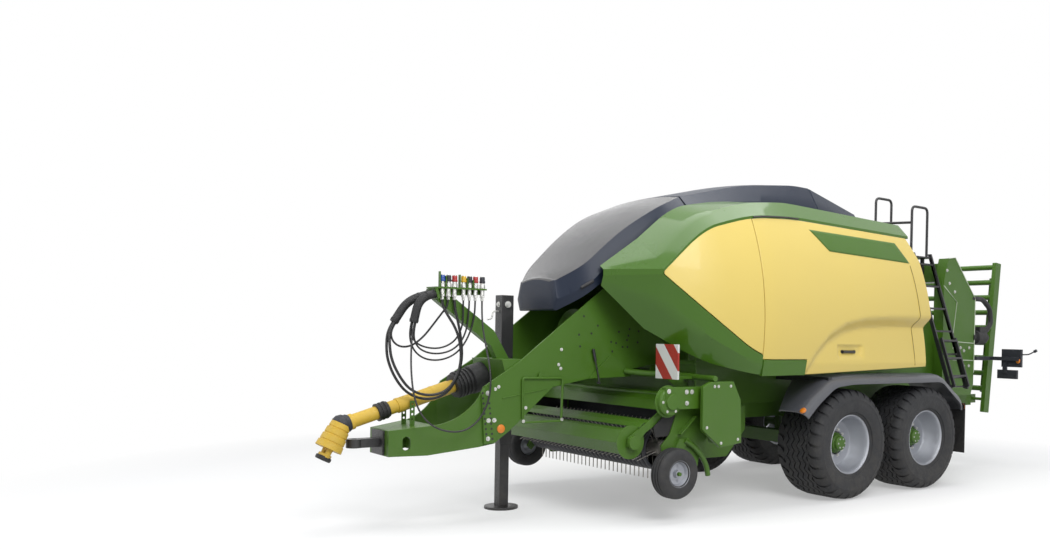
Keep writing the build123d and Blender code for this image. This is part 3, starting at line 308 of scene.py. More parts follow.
SLOT_FINISH = {
    "green_paint": GREEN, "yellow_cover": YELLOW, "grey_cover": GREY, "black_paint": BLACK,
    "rim_silver": SILVER, "tyre_rubber": RUBBER, "black_rubber": SOFT_RUBBER, "guard_yellow": GUARD,
    "bare_steel": STEEL, "board": STRIPES, "lamp": CASE, "band_black": BAND, "coupling": ZINC,
}
SHARP = 30


def smooth_shading():
    """Modifier nodes that shade faces smooth between edges of more than SHARP degrees."""
    tree = bpy.data.node_groups.new("smooth_shading", "GeometryNodeTree")
    tree.interface.new_socket("Geometry", in_out="INPUT", socket_type="NodeSocketGeometry")
    tree.interface.new_socket("Geometry", in_out="OUTPUT", socket_type="NodeSocketGeometry")
    given = tree.nodes.new("NodeGroupInput")
    out = tree.nodes.new("NodeGroupOutput")
    bend = tree.nodes.new("GeometryNodeInputMeshEdgeAngle")
    sharp = place_node(tree, "FunctionNodeCompare", {1: math.radians(SHARP)}, {0: bend.outputs[0]},
                       operation="GREATER_THAN")
    faces = place_node(tree, "GeometryNodeSetShadeSmooth", {"Shade Smooth": True},
                       {"Geometry": given.outputs[0]}, domain="FACE")
    edges = place_node(tree, "GeometryNodeSetShadeSmooth", {"Shade Smooth": False},
                       {"Geometry": faces.outputs[0], "Selection": sharp.outputs[0]}, domain="EDGE")
    tree.links.new(edges.outputs[0], out.inputs[0])
    return tree


SMOOTH = smooth_shading()
NODE_WELD, NODE_FLAT, NODE_EDGE, NODE_BEND = 0.0001, 1.0, 0.003, 35


def dress_nodes():
    """Gives every node the finish of its slot, with slightly rounded edges."""
    for part in frame["record"]["subparts"]:
        node = nodes[part["node"]]
        node.data.materials.clear()
        node.data.materials.append(SLOT_FINISH[part["material_slot"]])
        node.modifiers.new("weld", "WELD").merge_threshold = NODE_WELD
        node.modifiers.new("smooth", "NODES").node_group = SMOOTH
        flat = node.modifiers.new("flat", "DECIMATE")
        flat.decimate_type = "DISSOLVE"
        flat.angle_limit = math.radians(NODE_FLAT)
        round_edges(node, NODE_EDGE, 2, NODE_BEND)


# Studio
FLOOR_REACH, WHITE_FROM, WHITE_TO, FLOOR_GLOW = 60.0, 5.5, 8.0, 0.35
FLOOR_LIGHTING, FLOOR_SEEN = (0.42, 0.42, 0.42, 1), (0.95, 0.95, 0.95, 1)
SKY_COLOUR, SKY_STRENGTH = (0.95, 0.97, 1.0, 1), 0.50


def seen_plainly(tree):
    """1 for rays from the camera and those that gloss or glass sends on, 0 for light on surfaces."""
    ray = place_node(tree, "ShaderNodeLightPath")
    gloss = place_node(tree, "ShaderNodeMath", None,
                       {0: ray.outputs["Is Camera Ray"], 1: ray.outputs["Is Glossy Ray"]},
                       operation="MAXIMUM")
    glass = place_node(tree, "ShaderNodeMath", None,
                       {0: gloss.outputs[0], 1: ray.outputs["Is Transmission Ray"]}, operation="MAXIMUM")
    return glass.outputs[0]


def studio():
    """A pale floor that fades to white, a white surround and soft lamps."""
    bpy.context.scene.view_settings.view_transform = "Standard"
    mesh = bpy.data.meshes.new("floor")
    corners = [(x * FLOOR_REACH, y * FLOOR_REACH, 0) for x, y in ((-1, -1), (1, -1), (1, 1), (-1, 1))]
    mesh.from_pydata(corners, [], [(0, 1, 2, 3)])
    floor = bpy.data.objects.new("floor", mesh)
    bpy.context.scene.collection.objects.link(floor)
    mesh.materials.append(pale_floor())

    world = bpy.data.worlds.new("surround")
    bpy.context.scene.world = world
    world.use_nodes = True
    tree = world.node_tree
    soft = tree.nodes["Background"]
    soft.inputs["Color"].default_value = SKY_COLOUR
    soft.inputs["Strength"].default_value = SKY_STRENGTH
    white = place_node(tree, "ShaderNodeBackground", {"Color": (1, 1, 1, 1), "Strength": 1.0})
    seen = place_node(tree, "ShaderNodeMixShader", None,
                      {0: seen_plainly(tree), 1: soft.outputs[0], 2: white.outputs[0]})
    tree.links.new(seen.outputs[0], tree.nodes["World Output"].inputs["Surface"])

    lamps = [
        # name, place, aim, width, height, power in watts
        ("key", spot(5.0, 8.5, 8.0), spot(1.5, 0.5, 1.2), 6.0, 5.0, 640),
        ("top", spot(0.5, 0.0, 10.5), spot(0.5, 0.0, 1.0), 11.0, 6.0, 640),
        ("front", spot(11.0, -2.0, 5.0), spot(2.0, 0.0, 1.5), 4.0, 4.0, 110),
    ]
    for name, place, aim, width, height, power in lamps:
        data = bpy.data.lights.new(name, "AREA")
        data.shape = "RECTANGLE"
        data.size, data.size_y = width, height
        data.energy = power
        lamp = bpy.data.objects.new(name, data)
        bpy.context.scene.collection.objects.link(lamp)
        lamp.location = place
        lamp.rotation_euler = (aim - place).to_track_quat("-Z", "Y").to_euler()


def pale_floor():
    """Pale floor, which the camera sees as plain white away from the object."""
    material = bpy.data.materials.new("pale_floor")
    material.use_nodes = True
    tree = material.node_tree
    matt = tree.nodes["Principled BSDF"]
    matt.inputs["Roughness"].default_value = 0.9
    coords = place_node(tree, "ShaderNodeTexCoord")
    reach = place_node(tree, "ShaderNodeVectorMath", None, {0: coords.outputs["Object"]}, operation="LENGTH")
    far = place_node(tree, "ShaderNodeMapRange", {"From Min": WHITE_FROM, "From Max": WHITE_TO},
                     {"Value": reach.outputs["Value"]})
    near = place_node(tree, "ShaderNodeMath", {1: FLOOR_GLOW}, {0: far.outputs[0]}, operation="MAXIMUM")
    plainly = seen_plainly(tree)
    seen = place_node(tree, "ShaderNodeMath", None, {0: near.outputs[0], 1: plainly}, operation="MULTIPLY")
    tone = place_node(tree, "ShaderNodeMix", {6: FLOOR_LIGHTING, 7: FLOOR_SEEN}, {0: plainly},
                      data_type="RGBA")
    tree.links.new(tone.outputs[2], matt.inputs["Base Color"])
    white = place_node(tree, "ShaderNodeEmission", {"Color": (1, 1, 1, 1), "Strength": 1.0})
    mix = place_node(tree, "ShaderNodeMixShader", None,
                     {0: seen.outputs[0], 1: matt.outputs[0], 2: white.outputs[0]})
    tree.links.new(mix.outputs[0], tree.nodes["Material Output"].inputs["Surface"])
    return material


# Hands, numbers and places
HANDS = (1, -1)
SIDES = (("left", 1), ("right", -1))


def steps(start, end, count):
    """Evenly spaced numbers from start to end."""
    return [start + (end - start) * k / count for k in range(count + 1)]


def along(table, value):
    """The second column of a table at a value of its first, on straight runs."""
    for (a, p), (b, q) in zip(table, table[1:]):
        if value <= b:
            return p + (q - p) * max(0.0, value - a) / (b - a)
    return table[-1][1]


def on_side(places, y):
    """Places of (x, z) at one distance left of the middle."""
    return [spot(x, y, z) for x, z in places]


def mirrored(place, hand):
    """A place (x, y, z) of the left side, or its mirror for the right hand."""
    return spot(place[0], hand * place[1], place[2])


def handed(rows, hand):
    """Rows of points of the left side, or their mirror for the right hand."""
    return [[Vector((p.x, hand * p.y, p.z)) for p in row] for row in rows]


# Shapes, added to a bmesh in metres
WELD = 0.00005


def upright(place, way):
    """A matrix that stands at a place with its Z axis along a direction."""
    return Matrix.Translation(place) @ way.to_track_quat("Z", "Y").to_matrix().to_4x4()


def rod(form, start, end, radius, sides):
    """A round bar."""
    bmesh.ops.create_cone(form, cap_ends=True, segments=sides, radius1=radius, radius2=radius,
                          depth=(end - start).length, matrix=upright((start + end) / 2, end - start))


def block(form, centre, size, turn=Matrix()):
    """A block of a size about its centre, turned by a 4x4 matrix."""
    place = Matrix.Translation(centre) @ turn @ Matrix.Diagonal((*size, 1))
    bmesh.ops.create_cube(form, size=1, matrix=place)


def turned(form, profile, place, sides, closed=False):
    """A turned form: profile is (radius, height) along the Z axis of place."""
    rings = []
    for radius, height in profile:
        ring = []
        for i in range(sides):
            angle = 2 * math.pi * i / sides
            local = Vector((radius * math.cos(angle), radius * math.sin(angle), height))
            ring.append(form.verts.new(place @ local))
        rings.append(ring)
    pairs = list(zip(rings, rings[1:]))
    if closed:
        pairs.append((rings[-1], rings[0]))
    for lower, upper in pairs:
        for i in range(sides):
            j = (i + 1) % sides
            form.faces.new((lower[i], lower[j], upper[j], upper[i]))


WASHER_WIDE, WASHER_THICK, HEAD_TOP = 1.5, 0.25, 0.95


def bolt(form, place, way, radius):
    """A hexagon head on a washer."""
    way = way.normalized()
    face = place + way * radius * WASHER_THICK
    rod(form, place, face, radius * WASHER_WIDE, 14)
    rod(form, face, place + way * radius * HEAD_TOP, radius, 6)


def bolt_circle(form, place, way, reach, height, count, radius):
    """Bolts in a circle round the Z axis of a place, with their heads along a direction."""
    for k in range(count):
        angle = 2 * math.pi * k / count
        bolt(form, place @ Vector((reach * math.cos(angle), reach * math.sin(angle), height)), way, radius)


def bent_tube(form, points, radius, sides):
    """A tube along points, mitred at the bends."""
    rings = []
    for i, point in enumerate(points):
        before = points[max(i - 1, 0)]
        after = points[min(i + 1, len(points) - 1)]
        place = upright(point, after - before)
        rings.append([form.verts.new(place @ Vector((radius * math.cos(a), radius * math.sin(a), 0)))
                      for a in [2 * math.pi * k / sides for k in range(sides)]])
    for lower, upper in zip(rings, rings[1:]):
        shift = min(range(sides), key=lambda k: (upper[k].co - lower[0].co).length)
        for i in range(sides):
            j = (i + 1) % sides
            form.faces.new((lower[i], lower[j], upper[(j + shift) % sides], upper[(i + shift) % sides]))
    form.faces.new(rings[0][::-1])
    form.faces.new(rings[-1])


def rounded(points, radius, count=5):
    """The points of a path with each bend rounded."""
    path = [points[0]]
    for before, corner, after in zip(points, points[1:], points[2:]):
        back = (before - corner).normalized() * radius
        on = (after - corner).normalized() * radius
        for k in range(count + 1):
            t = k / count
            path.append(corner + back * (1 - t) ** 2 + on * t ** 2)
    path.append(points[-1])
    return path


def sheet_grid(form, rows):
    """A sheet of quads through rows of points."""
    grid = [[form.verts.new(point) for point in row] for row in rows]
    for lower, upper in zip(grid, grid[1:]):
        for i in range(len(lower) - 1):
            form.faces.new((lower[i], lower[i + 1], upper[i + 1], upper[i]))
    return grid


PIECE_BEND = 28


def piece(name, form, finishes, body, stands_for=(), crease=32, edge=0.0, thick=0.0):
    """A new piece on a body, in place of the nodes that it stands for.

    edge is the width of its rounded edges, thick the thickness of a sheet, laid inwards."""
    bmesh.ops.remove_doubles(form, verts=form.verts, dist=WELD)
    if not thick:
        bmesh.ops.recalc_face_normals(form, faces=form.faces)
    mesh = bpy.data.meshes.new(name)
    form.to_mesh(mesh)
    form.free()
    for each in finishes:
        mesh.materials.append(each)
    mesh.shade_smooth()
    mesh.set_sharp_from_angle(angle=math.radians(crease))
    made = bpy.data.objects.new(name, mesh)
    bpy.context.scene.collection.objects.link(made)
    if thick:
        wall = made.modifiers.new("wall", "SOLIDIFY")
        wall.thickness = thick
        wall.offset = -1
    if edge:
        round_edges(made, edge, 3, PIECE_BEND)
    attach(made, body)
    if stands_for:
        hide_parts(*stands_for)


def round_edges(made, width, segments, bend):
    """Rounds the edges of an object that bend by more than an angle in degrees."""
    edge = made.modifiers.new("edge", "BEVEL")
    edge.width = width
    edge.segments = segments
    edge.limit_method = "ANGLE"
    edge.angle_limit = math.radians(bend)
    edge.use_clamp_overlap = True
    edge.harden_normals = True


def faces_outward(form, away):
    """Turns each whole sheet so that most of its faces look along away(face centre)."""
    bmesh.ops.remove_doubles(form, verts=form.verts, dist=WELD)
    bmesh.ops.recalc_face_normals(form, faces=form.faces)
    left = set(form.faces)
    while left:
        sheet = [left.pop()]
        for face in sheet:
            for edge in face.edges:
                near = [other for other in edge.link_faces if other in left]
                left.difference_update(near)
                sheet.extend(near)
        facing = sum(face.calc_area() * face.normal.dot(away(face.calc_center_median())) for face in sheet)
        if facing < 0:
            bmesh.ops.reverse_faces(form, faces=sheet)


def slab(form, outline, inner, outer, hand):
    """A flat plate from an outline of (x, z), between two distances from the middle of the machine."""
    near = [form.verts.new(spot(x, hand * inner, z)) for x, z in outline]
    far = [form.verts.new(spot(x, hand * outer, z)) for x, z in outline]
    form.faces.new(near)
    form.faces.new(far)
    for i in range(len(outline)):
        j = (i + 1) % len(outline)
        form.faces.new((near[i], near[j], far[j], far[i]))


# Hoses
COLLAR = spot(4.915, 0, 2.060)
COLLAR_DIP = math.radians(16.7)
COLLAR_WAY = Vector((math.cos(COLLAR_DIP), 0, -math.sin(COLLAR_DIP)))
SLEEVE_R, SLEEVE_BEND = 0.038, 0.11
CLIP_SHARES, CLIP_BACK, CLIP_HALF, CLIP_R = (0.06, 0.5), 0.02, 0.008, SLEEVE_R * 1.06
SLEEVES = [
    # length of the straight start, end
    (0.214, (5.250, 0.050, 1.800)),
    (0.152, (5.110, 0.150, 1.800)),
]
COUPLING_X = (4.850, 4.790, 4.730, 4.640, 4.580, 4.520, 4.450)
COUPLING_Y, COUPLING_FOOT, COUPLING_TOP, COUPLING_LEAD = 0.168, 2.040, 2.236, 0.080
HOSES = [
    # node, sleeve, place in its mouth (y, across), straight start, diameter, coupling, points between
    ("hoses_long", 0, (0.016, 0), 0.085, 0.024, 0, [
        (5.305, 0.095, 1.600), (5.292, 0.110, 1.470), (5.225, 0.135, 1.320), (5.128, 0.155, 1.197),
        (4.965, 0.170, 1.147), (4.800, 0.190, 1.185), (4.705, 0.205, 1.320), (4.672, 0.213, 1.480),
        (4.690, 0.214, 1.640), (4.735, 0.206, 1.765), (4.797, 0.193, 1.860)]),
    ("hoses_long", 0, (-0.016, 0), 0.085, 0.024, 2, [
        (5.318, 0.055, 1.600), (5.312, 0.072, 1.465), (5.250, 0.095, 1.305), (5.145, 0.112, 1.172),
        (4.975, 0.128, 1.108), (4.790, 0.150, 1.150), (4.688, 0.170, 1.300), (4.648, 0.182, 1.470),
        (4.660, 0.184, 1.640), (4.690, 0.180, 1.795)]),
    ("hoses_long", 1, (0.022, 0), 0.080, 0.016, 6, [
        (5.150, 0.200, 1.600), (5.170, 0.240, 1.455), (5.185, 0.295, 1.300), (5.185, 0.350, 1.150),
        (5.150, 0.405, 1.010), (5.060, 0.450, 0.905), (4.930, 0.475, 0.855), (4.790, 0.485, 0.850),
        (4.665, 0.492, 0.915), (4.580, 0.498, 1.030), (4.535, 0.500, 1.165), (4.522, 0.490, 1.310),
        (4.520, 0.450, 1.455), (4.515, 0.380, 1.590), (4.500, 0.300, 1.715), (4.475, 0.225, 1.830)]),
    ("hoses_short", 0, (0, -0.018), 0.080, 0.018, 1, [
        (5.264, 0.052, 1.632), (5.190, 0.058, 1.578), (5.085, 0.066, 1.590), (4.985, 0.086, 1.672),
        (4.905, 0.112, 1.785), (4.838, 0.145, 1.890)]),
    ("hoses_short", 1, (-0.022, 0), 0.068, 0.016, 3, [
        (5.105, 0.114, 1.660), (5.045, 0.106, 1.605), (4.950, 0.100, 1.575), (4.845, 0.098, 1.570),
        (4.750, 0.102, 1.598), (4.680, 0.118, 1.655), (4.645, 0.142, 1.740), (4.636, 0.163, 1.830)]),
    ("hoses_short", 1, (0, -0.0195), 0.068, 0.016, 4, [
        (5.098, 0.142, 1.640), (5.050, 0.134, 1.570), (4.960, 0.128, 1.530), (4.850, 0.126, 1.522),
        (4.740, 0.128, 1.548), (4.655, 0.134, 1.610), (4.605, 0.144, 1.700), (4.585, 0.156, 1.810)]),
    ("hoses_short", 1, (0, 0.0195), 0.068, 0.016, 5, [
        (5.142, 0.152, 1.640), (5.100, 0.150, 1.545), (5.010, 0.148, 1.480), (4.890, 0.146, 1.462),
        (4.770, 0.146, 1.485), (4.670, 0.148, 1.545), (4.595, 0.150, 1.640), (4.545, 0.156, 1.760),
        (4.523, 0.164, 1.880)]),
]


def hose_curve(name, points, diameter):
    """A round hose on one smooth spline with the route's points as its control points."""
    data = bpy.data.curves.new(name, "CURVE")
    data.dimensions = "3D"
    line = data.splines.new("NURBS")
    line.points.add(len(points) - 1)
    for knot, point in zip(line.points, points):
        knot.co = (*point, 1)
    line.order_u = 3
    line.use_endpoint_u = True
    line.resolution_u = 8
    data.bevel_depth = diameter / 2
    data.bevel_resolution = 4
    data.use_fill_caps = True
    data.materials.append(HOSE)
    made = bpy.data.objects.new(name, data)
    bpy.context.scene.collection.objects.link(made)
    return made


def hoses():
    """Sleeves on the arm's collar, and the hoses that hang from them back to the couplings."""
    mouths = []
    form = bmesh.new()
    for lead, end in SLEEVES:
        foot = Vector((COLLAR.x, end[1], COLLAR.z))
        bend = foot + COLLAR_WAY * lead
        mouth = spot(*end)
        down = (mouth - bend).normalized()
        mouths.append((mouth, down))
        bent_tube(form, rounded([foot, bend, mouth], SLEEVE_BEND, 10), SLEEVE_R, 20)
        clips = [(foot.lerp(bend, share), COLLAR_WAY.normalized()) for share in CLIP_SHARES]
        clips.append((mouth - down * CLIP_BACK, down))
        for place, way in clips:
            rod(form, place - way * CLIP_HALF, place + way * CLIP_HALF, CLIP_R, 20)
    piece("hose_sleeve_tubes", form, [SOFT_RUBBER], "chassis", ["hose_sleeves"])
    for number, (node, sleeve, place, lead, diameter, coupling, middle) in enumerate(HOSES):
        mouth, way = mouths[sleeve]
        start = mouth + Vector((0, place[0], 0)) - Vector((0, 1, 0)).cross(way) * place[1]
        below = spot(COUPLING_X[coupling], COUPLING_Y, COUPLING_FOOT - COUPLING_LEAD)
        last = spot(COUPLING_X[coupling], COUPLING_Y, COUPLING_FOOT)
        points = [start, start + way * lead, *[spot(*p) for p in middle], below, last]
        made = hose_curve(f"hose_{number}", points, diameter)
        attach(made, "chassis")
        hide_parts(node)


CAP_COLOURS = [BLUE_CAP, CASE, RED_CAP, YELLOW_CAP, CASE, RED_CAP, CASE]
CAP = [
    # radius, height
    (0.021, 0), (0.027, 0.003), (0.027, 0.018), (0.024, 0.021), (0.024, 0.05), (0.018, 0.061), (0, 0.062),
]
FERRULE = [(0.013, 0), (0.016, 0.004), (0.016, 0.03), (0.024, 0.03), (0.024, 0.05)]
CAP_DROP, FERRULE_DROP = 0.062, 0.03
UP = Vector((0, 0, 1))


def coupling_caps():
    """Ferrules below the rack and coloured dust caps on top of the couplings."""
    for number, (x, colour) in enumerate(zip(COUPLING_X, CAP_COLOURS)):
        form = bmesh.new()
        turned(form, CAP, upright(spot(x, COUPLING_Y, COUPLING_TOP - CAP_DROP), UP), 18)
        piece(f"coupling_cap_{number}", form, [colour], "chassis")
    form = bmesh.new()
    for x in COUPLING_X:
        turned(form, FERRULE, upright(spot(x, COUPLING_Y, COUPLING_FOOT - FERRULE_DROP), UP), 6)
    piece("coupling_ferrules", form, [ZINC], "chassis")


# Road wheels
HALF_BASE, HALF_TRACK = 0.675, 1.160
TYRE_PROFILE = [
    # radius, distance from the middle of the tread
    (0.298, 0.236), (0.318, 0.258), (0.346, 0.272), (0.352, 0.286), (0.362, 0.288), (0.400, 0.302),
    (0.440, 0.308), (0.480, 0.306), (0.486, 0.309), (0.494, 0.307), (0.520, 0.298), (0.548, 0.281),
    (0.566, 0.250), (0.573, 0.180), (0.576, 0.080), (0.576, 0.0),
]
SHOULDER_BLOCK = [
    # across, radius, shift along the tread
    (0.172, 0.592, -0.30), (0.205, 0.590, 0.05), (0.252, 0.583, 0.14), (0.284, 0.556, 0.20),
    (0.299, 0.530, 0.24),
]
RIBS = [(-0.164, -0.108), (-0.092, -0.036), (-0.020, 0.036), (0.052, 0.108), (0.124, 0.164)]
TREAD_COUNT, TREAD_SHARE, TREAD_DEPTH, TREAD_PHASE = 30, 0.76, 0.024, 0.25
ZIGZAG, RIB_R = 0.020, 0.5945
DISH = [
    # radius, distance outwards from the middle of the tread
    (0.292, -0.250), (0.318, -0.255), (0.318, -0.243), (0.300, -0.236), (0.288, -0.16), (0.272, -0.02),
    (0.255, 0.02), (0.200, 0.010), (0.130, 0.030), (0.130, 0.048), (0.200, 0.034), (0.246, 0.044),
    (0.264, 0.070), (0.268, 0.110), (0.279, 0.125), (0.282, 0.200), (0.296, 0.236), (0.300, 0.252),
    (0.312, 0.262), (0.321, 0.258), (0.322, 0.246), (0.298, 0.236), (0.292, 0.20),
]
HUB = [(0.112, 0.040), (0.112, 0.056), (0.100, 0.060), (0.094, 0.092), (0.082, 0.100), (0.078, 0.128),
       (0.066, 0.138), (0.030, 0.142), (0, 0.142)]
WHEEL_BOLTS = [
    # radius of the circle, distance outwards, count, size
    (0.145, 0.044, 10, 0.014), (0.052, 0.139, 6, 0.006),
]


def tread_row(form, place, stations, phase, side):
    """Slanted blocks of one row of the tread, all round."""
    pitch = 2 * math.pi / TREAD_COUNT
    for k in range(TREAD_COUNT):
        rails = []
        for across, radius, shift in stations:
            corners = []
            for edge in (-0.5, 0.5):
                angle = (k + phase + side * shift + edge * TREAD_SHARE) * pitch
                for reach in (radius, radius - TREAD_DEPTH):
                    local = Vector((reach * math.cos(angle), reach * math.sin(angle), side * across))
                    corners.append(form.verts.new(place @ local))
            rails.append(corners)
        for near, far in zip(rails, rails[1:]):
            for a, b in ((0, 2), (1, 0), (2, 3)):
                form.faces.new((near[a], near[b], far[b], far[a]))
        for end in (rails[0], rails[-1]):
            form.faces.new((end[0], end[2], end[3], end[1]))


def zigzag_rib(form, place, near, far):
    """A rib round the tread with zigzag edges."""
    count = 2 * TREAD_COUNT
    foot = RIB_R - TREAD_DEPTH
    rings = []
    for k in range(count):
        angle = 2 * math.pi * k / count
        swing = ZIGZAG if k % 2 else -ZIGZAG
        ring = []
        for across, reach in ((near, foot), (near, RIB_R), (far, RIB_R), (far, foot)):
            local = Vector((reach * math.cos(angle), reach * math.sin(angle), across + swing))
            ring.append(form.verts.new(place @ local))
        rings.append(ring)
    for k in range(count):
        here, after = rings[k], rings[(k + 1) % count]
        for i in range(3):
            form.faces.new((here[i], here[i + 1], after[i + 1], after[i]))


def road_wheels():
    """Tyres with zigzag ribs and shoulder blocks, on deep silver dishes with green hubs."""
    for axle, ahead in (("front", HALF_BASE), ("rear", -HALF_BASE)):
        for hand_name, hand in SIDES:
            body = f"wheel_{axle[0]}{hand_name[0]}"
            name = f"{axle}_{hand_name}"
            out = Vector((0, hand, 0))
            place = upright(spot(ahead, hand * HALF_TRACK, AXLE_Z), out)
            form = bmesh.new()
            inner = [(radius, -across) for radius, across in TYRE_PROFILE[:-1]]
            turned(form, inner + TYRE_PROFILE[::-1], place, 96, closed=True)
            for side in HANDS:
                tread_row(form, place, SHOULDER_BLOCK, TREAD_PHASE * side, side)
            for near, far in RIBS:
                zigzag_rib(form, place, near, far)
            piece(f"tread_{name}", form, [RUBBER], body, [f"tyre_{name}"], crease=38)
            form = bmesh.new()
            turned(form, DISH, place, 72, closed=True)
            piece(f"dish_{name}", form, [SILVER], body, [f"wheel_{name}"], crease=40)
            form = bmesh.new()
            turned(form, HUB, place, 48)
            piece(f"hub_{name}", form, [GREEN], body, [f"wheel_{name}"], edge=0.003)
            form = bmesh.new()
            for circle in WHEEL_BOLTS:
                bolt_circle(form, place, out, *circle)
            piece(f"nuts_{name}", form, [ZINC], body)


GAUGE_PLACE = (3.050, 1.310, 0.455)
GAUGE_TYRE = [
    # radius, distance outwards from the middle
    (0.112, -0.070), (0.150, -0.083), (0.190, -0.085), (0.212, -0.080), (0.226, -0.068), (0.233, -0.054),
    (0.234, -0.046), (0.223, -0.042), (0.223, -0.034), (0.235, -0.030), (0.235, -0.006), (0.223, -0.002),
    (0.223, 0.006), (0.235, 0.010), (0.235, 0.030), (0.223, 0.034), (0.223, 0.042), (0.234, 0.046),
    (0.233, 0.054), (0.226, 0.068), (0.212, 0.080), (0.190, 0.085), (0.150, 0.083), (0.112, 0.070),
]
GAUGE_DISH = [(0.114, -0.070), (0.124, -0.074), (0.120, -0.062), (0.104, -0.02), (0.060, -0.012),
              (0.030, -0.05), (0.021, -0.05), (0.021, 0.062), (0.034, 0.062), (0.040, 0.024), (0.066, 0.018),
              (0.098, 0.026), (0.110, 0.060), (0.124, 0.076), (0.128, 0.070), (0.116, 0.056)]
GAUGE_BOLTS = (0.078, 0.019, 5, 0.009)


def gauge_wheels():
    """Grooved tyres on small bolted rims at the sides of the pick-up."""
    for hand_name, hand in SIDES:
        body, node = f"gauge_{hand_name}", f"gauge_wheel_{hand_name}"
        out = Vector((0, hand, 0))
        place = upright(mirrored(GAUGE_PLACE, hand), out)
        form = bmesh.new()
        turned(form, GAUGE_TYRE, place, 64, closed=True)
        piece(f"gauge_tyre_{hand_name}", form, [RUBBER], body, [node], crease=40)
        form = bmesh.new()
        turned(form, GAUGE_DISH, place, 48, closed=True)
        bolt_circle(form, place, out, *GAUGE_BOLTS)
        piece(f"gauge_dish_{hand_name}", form, [SILVER], body, [node])


# Bodywork
SHELL_ROWS = [
    # station x, then y and z of the inner top edge, the shoulder, the lower seam and the bottom edge
    (-0.760, (0.720, 3.050), (1.190, 2.935), (1.452, 1.490), (1.436, 1.425)),
    (1.440, (0.720, 3.172), (1.215, 2.985), (1.458, 1.510), (1.430, 1.350)),
    (2.050, (0.720, 3.130), (1.240, 2.945), (1.450, 1.510), (1.424, 1.345)),
    (2.650, (0.718, 3.010), (1.205, 2.775), (1.345, 1.922), (1.190, 1.488)),
    (3.070, (0.700, 2.662), (1.120, 2.352), (1.120, 2.300), (0.830, 1.792)),
    (3.440, (0.612, 2.380), (0.668, 2.346), (0.668, 2.286), (0.636, 2.190)),
]
SHELL, PANEL = 0.020, 0.034
SEAM_X, NOSE_X, DOOR_BACK, SILL_BACK, SILL_TOP = 2.050, 3.070, -0.690, 1.425, 1.510
PANEL_BOW, SEAM_GAP, KINK, KINK_SHARE = 2.520, 0.027, 0.24, 0.45
HOOD_ROWS = [
    # station x, then half width and z of the foot, the waist and the top
    (2.440, (0.690, 2.970), (0.686, 3.035), (0.568, 3.146)),
    (2.800, (0.690, 2.800), (0.685, 2.895), (0.640, 2.992)),
    (3.180, (0.640, 2.400), (0.635, 2.545), (0.560, 2.735)),
    (3.560, (0.530, 2.080), (0.555, 2.170), (0.505, 2.380)),
    (3.740, (0.330, 1.945), (0.375, 2.060), (0.315, 2.240)),
]
ROOF_ROWS = [
    (0.440, (0.690, 3.115), (0.675, 3.215), (0.530, 3.460)),
    (0.700, (0.690, 3.120), (0.675, 3.220), (0.530, 3.465)),
    (1.500, (0.690, 3.100), (0.680, 3.190), (0.545, 3.380)),
    (2.425, (0.690, 2.980), (0.685, 3.045), (0.560, 3.155)),
]
TAIL_ROWS = [
    (-0.400, (0.660, 3.040), (0.645, 3.080), (0.520, 3.240)),
    (0.430, (0.690, 3.115), (0.675, 3.212), (0.530, 3.456)),
]


def eased(rows, x, column):
    """A point (y, z) of a column of rows at a station: straight runs with rounded kinks at the rows."""
    values = [Vector(row[column]) for row in rows]
    stations = [row[0] for row in rows]
    for i in range(1, len(rows) - 1):
        room = min(stations[i] - stations[i - 1], stations[i + 1] - stations[i])
        reach = min(KINK, KINK_SHARE * room)
        if abs(x - stations[i]) < reach:
            before = values[i].lerp(values[i - 1], reach / (stations[i] - stations[i - 1]))
            after = values[i].lerp(values[i + 1], reach / (stations[i + 1] - stations[i]))
            t = (x - stations[i] + reach) / (2 * reach)
            return before * (1 - t) ** 2 + values[i] * 2 * t * (1 - t) + after * t ** 2
    i = max(k for k in range(len(rows) - 1) if x >= stations[k] or k == 0)
    return values[i].lerp(values[i + 1], (x - stations[i]) / (stations[i + 1] - stations[i]))


def shell_edge(x, column):
    """A point of an edge of the body shell, which has a sharp corner at the nose panel."""
    return eased(SHELL_ROWS[:5] if x <= NOSE_X else SHELL_ROWS[4:], x, column)


def bowed_point(top, low, share):
    """A point between two edges of a panel that bows outwards."""
    run = low - top
    outward = Vector((-run.y, run.x)).normalized()
    if outward.x < 0:
        outward = -outward
    sag = run.length ** 2 / 8 / PANEL_BOW
    return top + run * share + outward * sag * 4 * share * (1 - share)


def away_from_middle(centre):
    """Outwards and up from the machine's middle line."""
    return Vector((0.3, math.copysign(1.0, centre.y), 0.8))


CREST_SHARE = 0.70
CREST_LIFT = [(-0.760, 0.105), (1.440, 0.105), (2.650, 0.050), (3.070, 0.030), (3.440, 0.0)]
CREASE_SHARE = 0.48
CREASE_OUT = [(2.050, 0.012), (2.650, 0.062), (3.070, 0.058), (3.440, 0.0)]
COWL_BACK, COWL_FRONT, COWL_LIP = -0.560, 3.440, Vector((0.003, -0.027))
FOLD_STEPS, HAIR = 4, 0.0001


def folded(start, fold, end):
    """Points from start over a fold to the end."""
    shares = steps(0, 1, FOLD_STEPS)
    return [start.lerp(fold, share) for share in shares] + [fold.lerp(end, share) for share in shares[1:]]


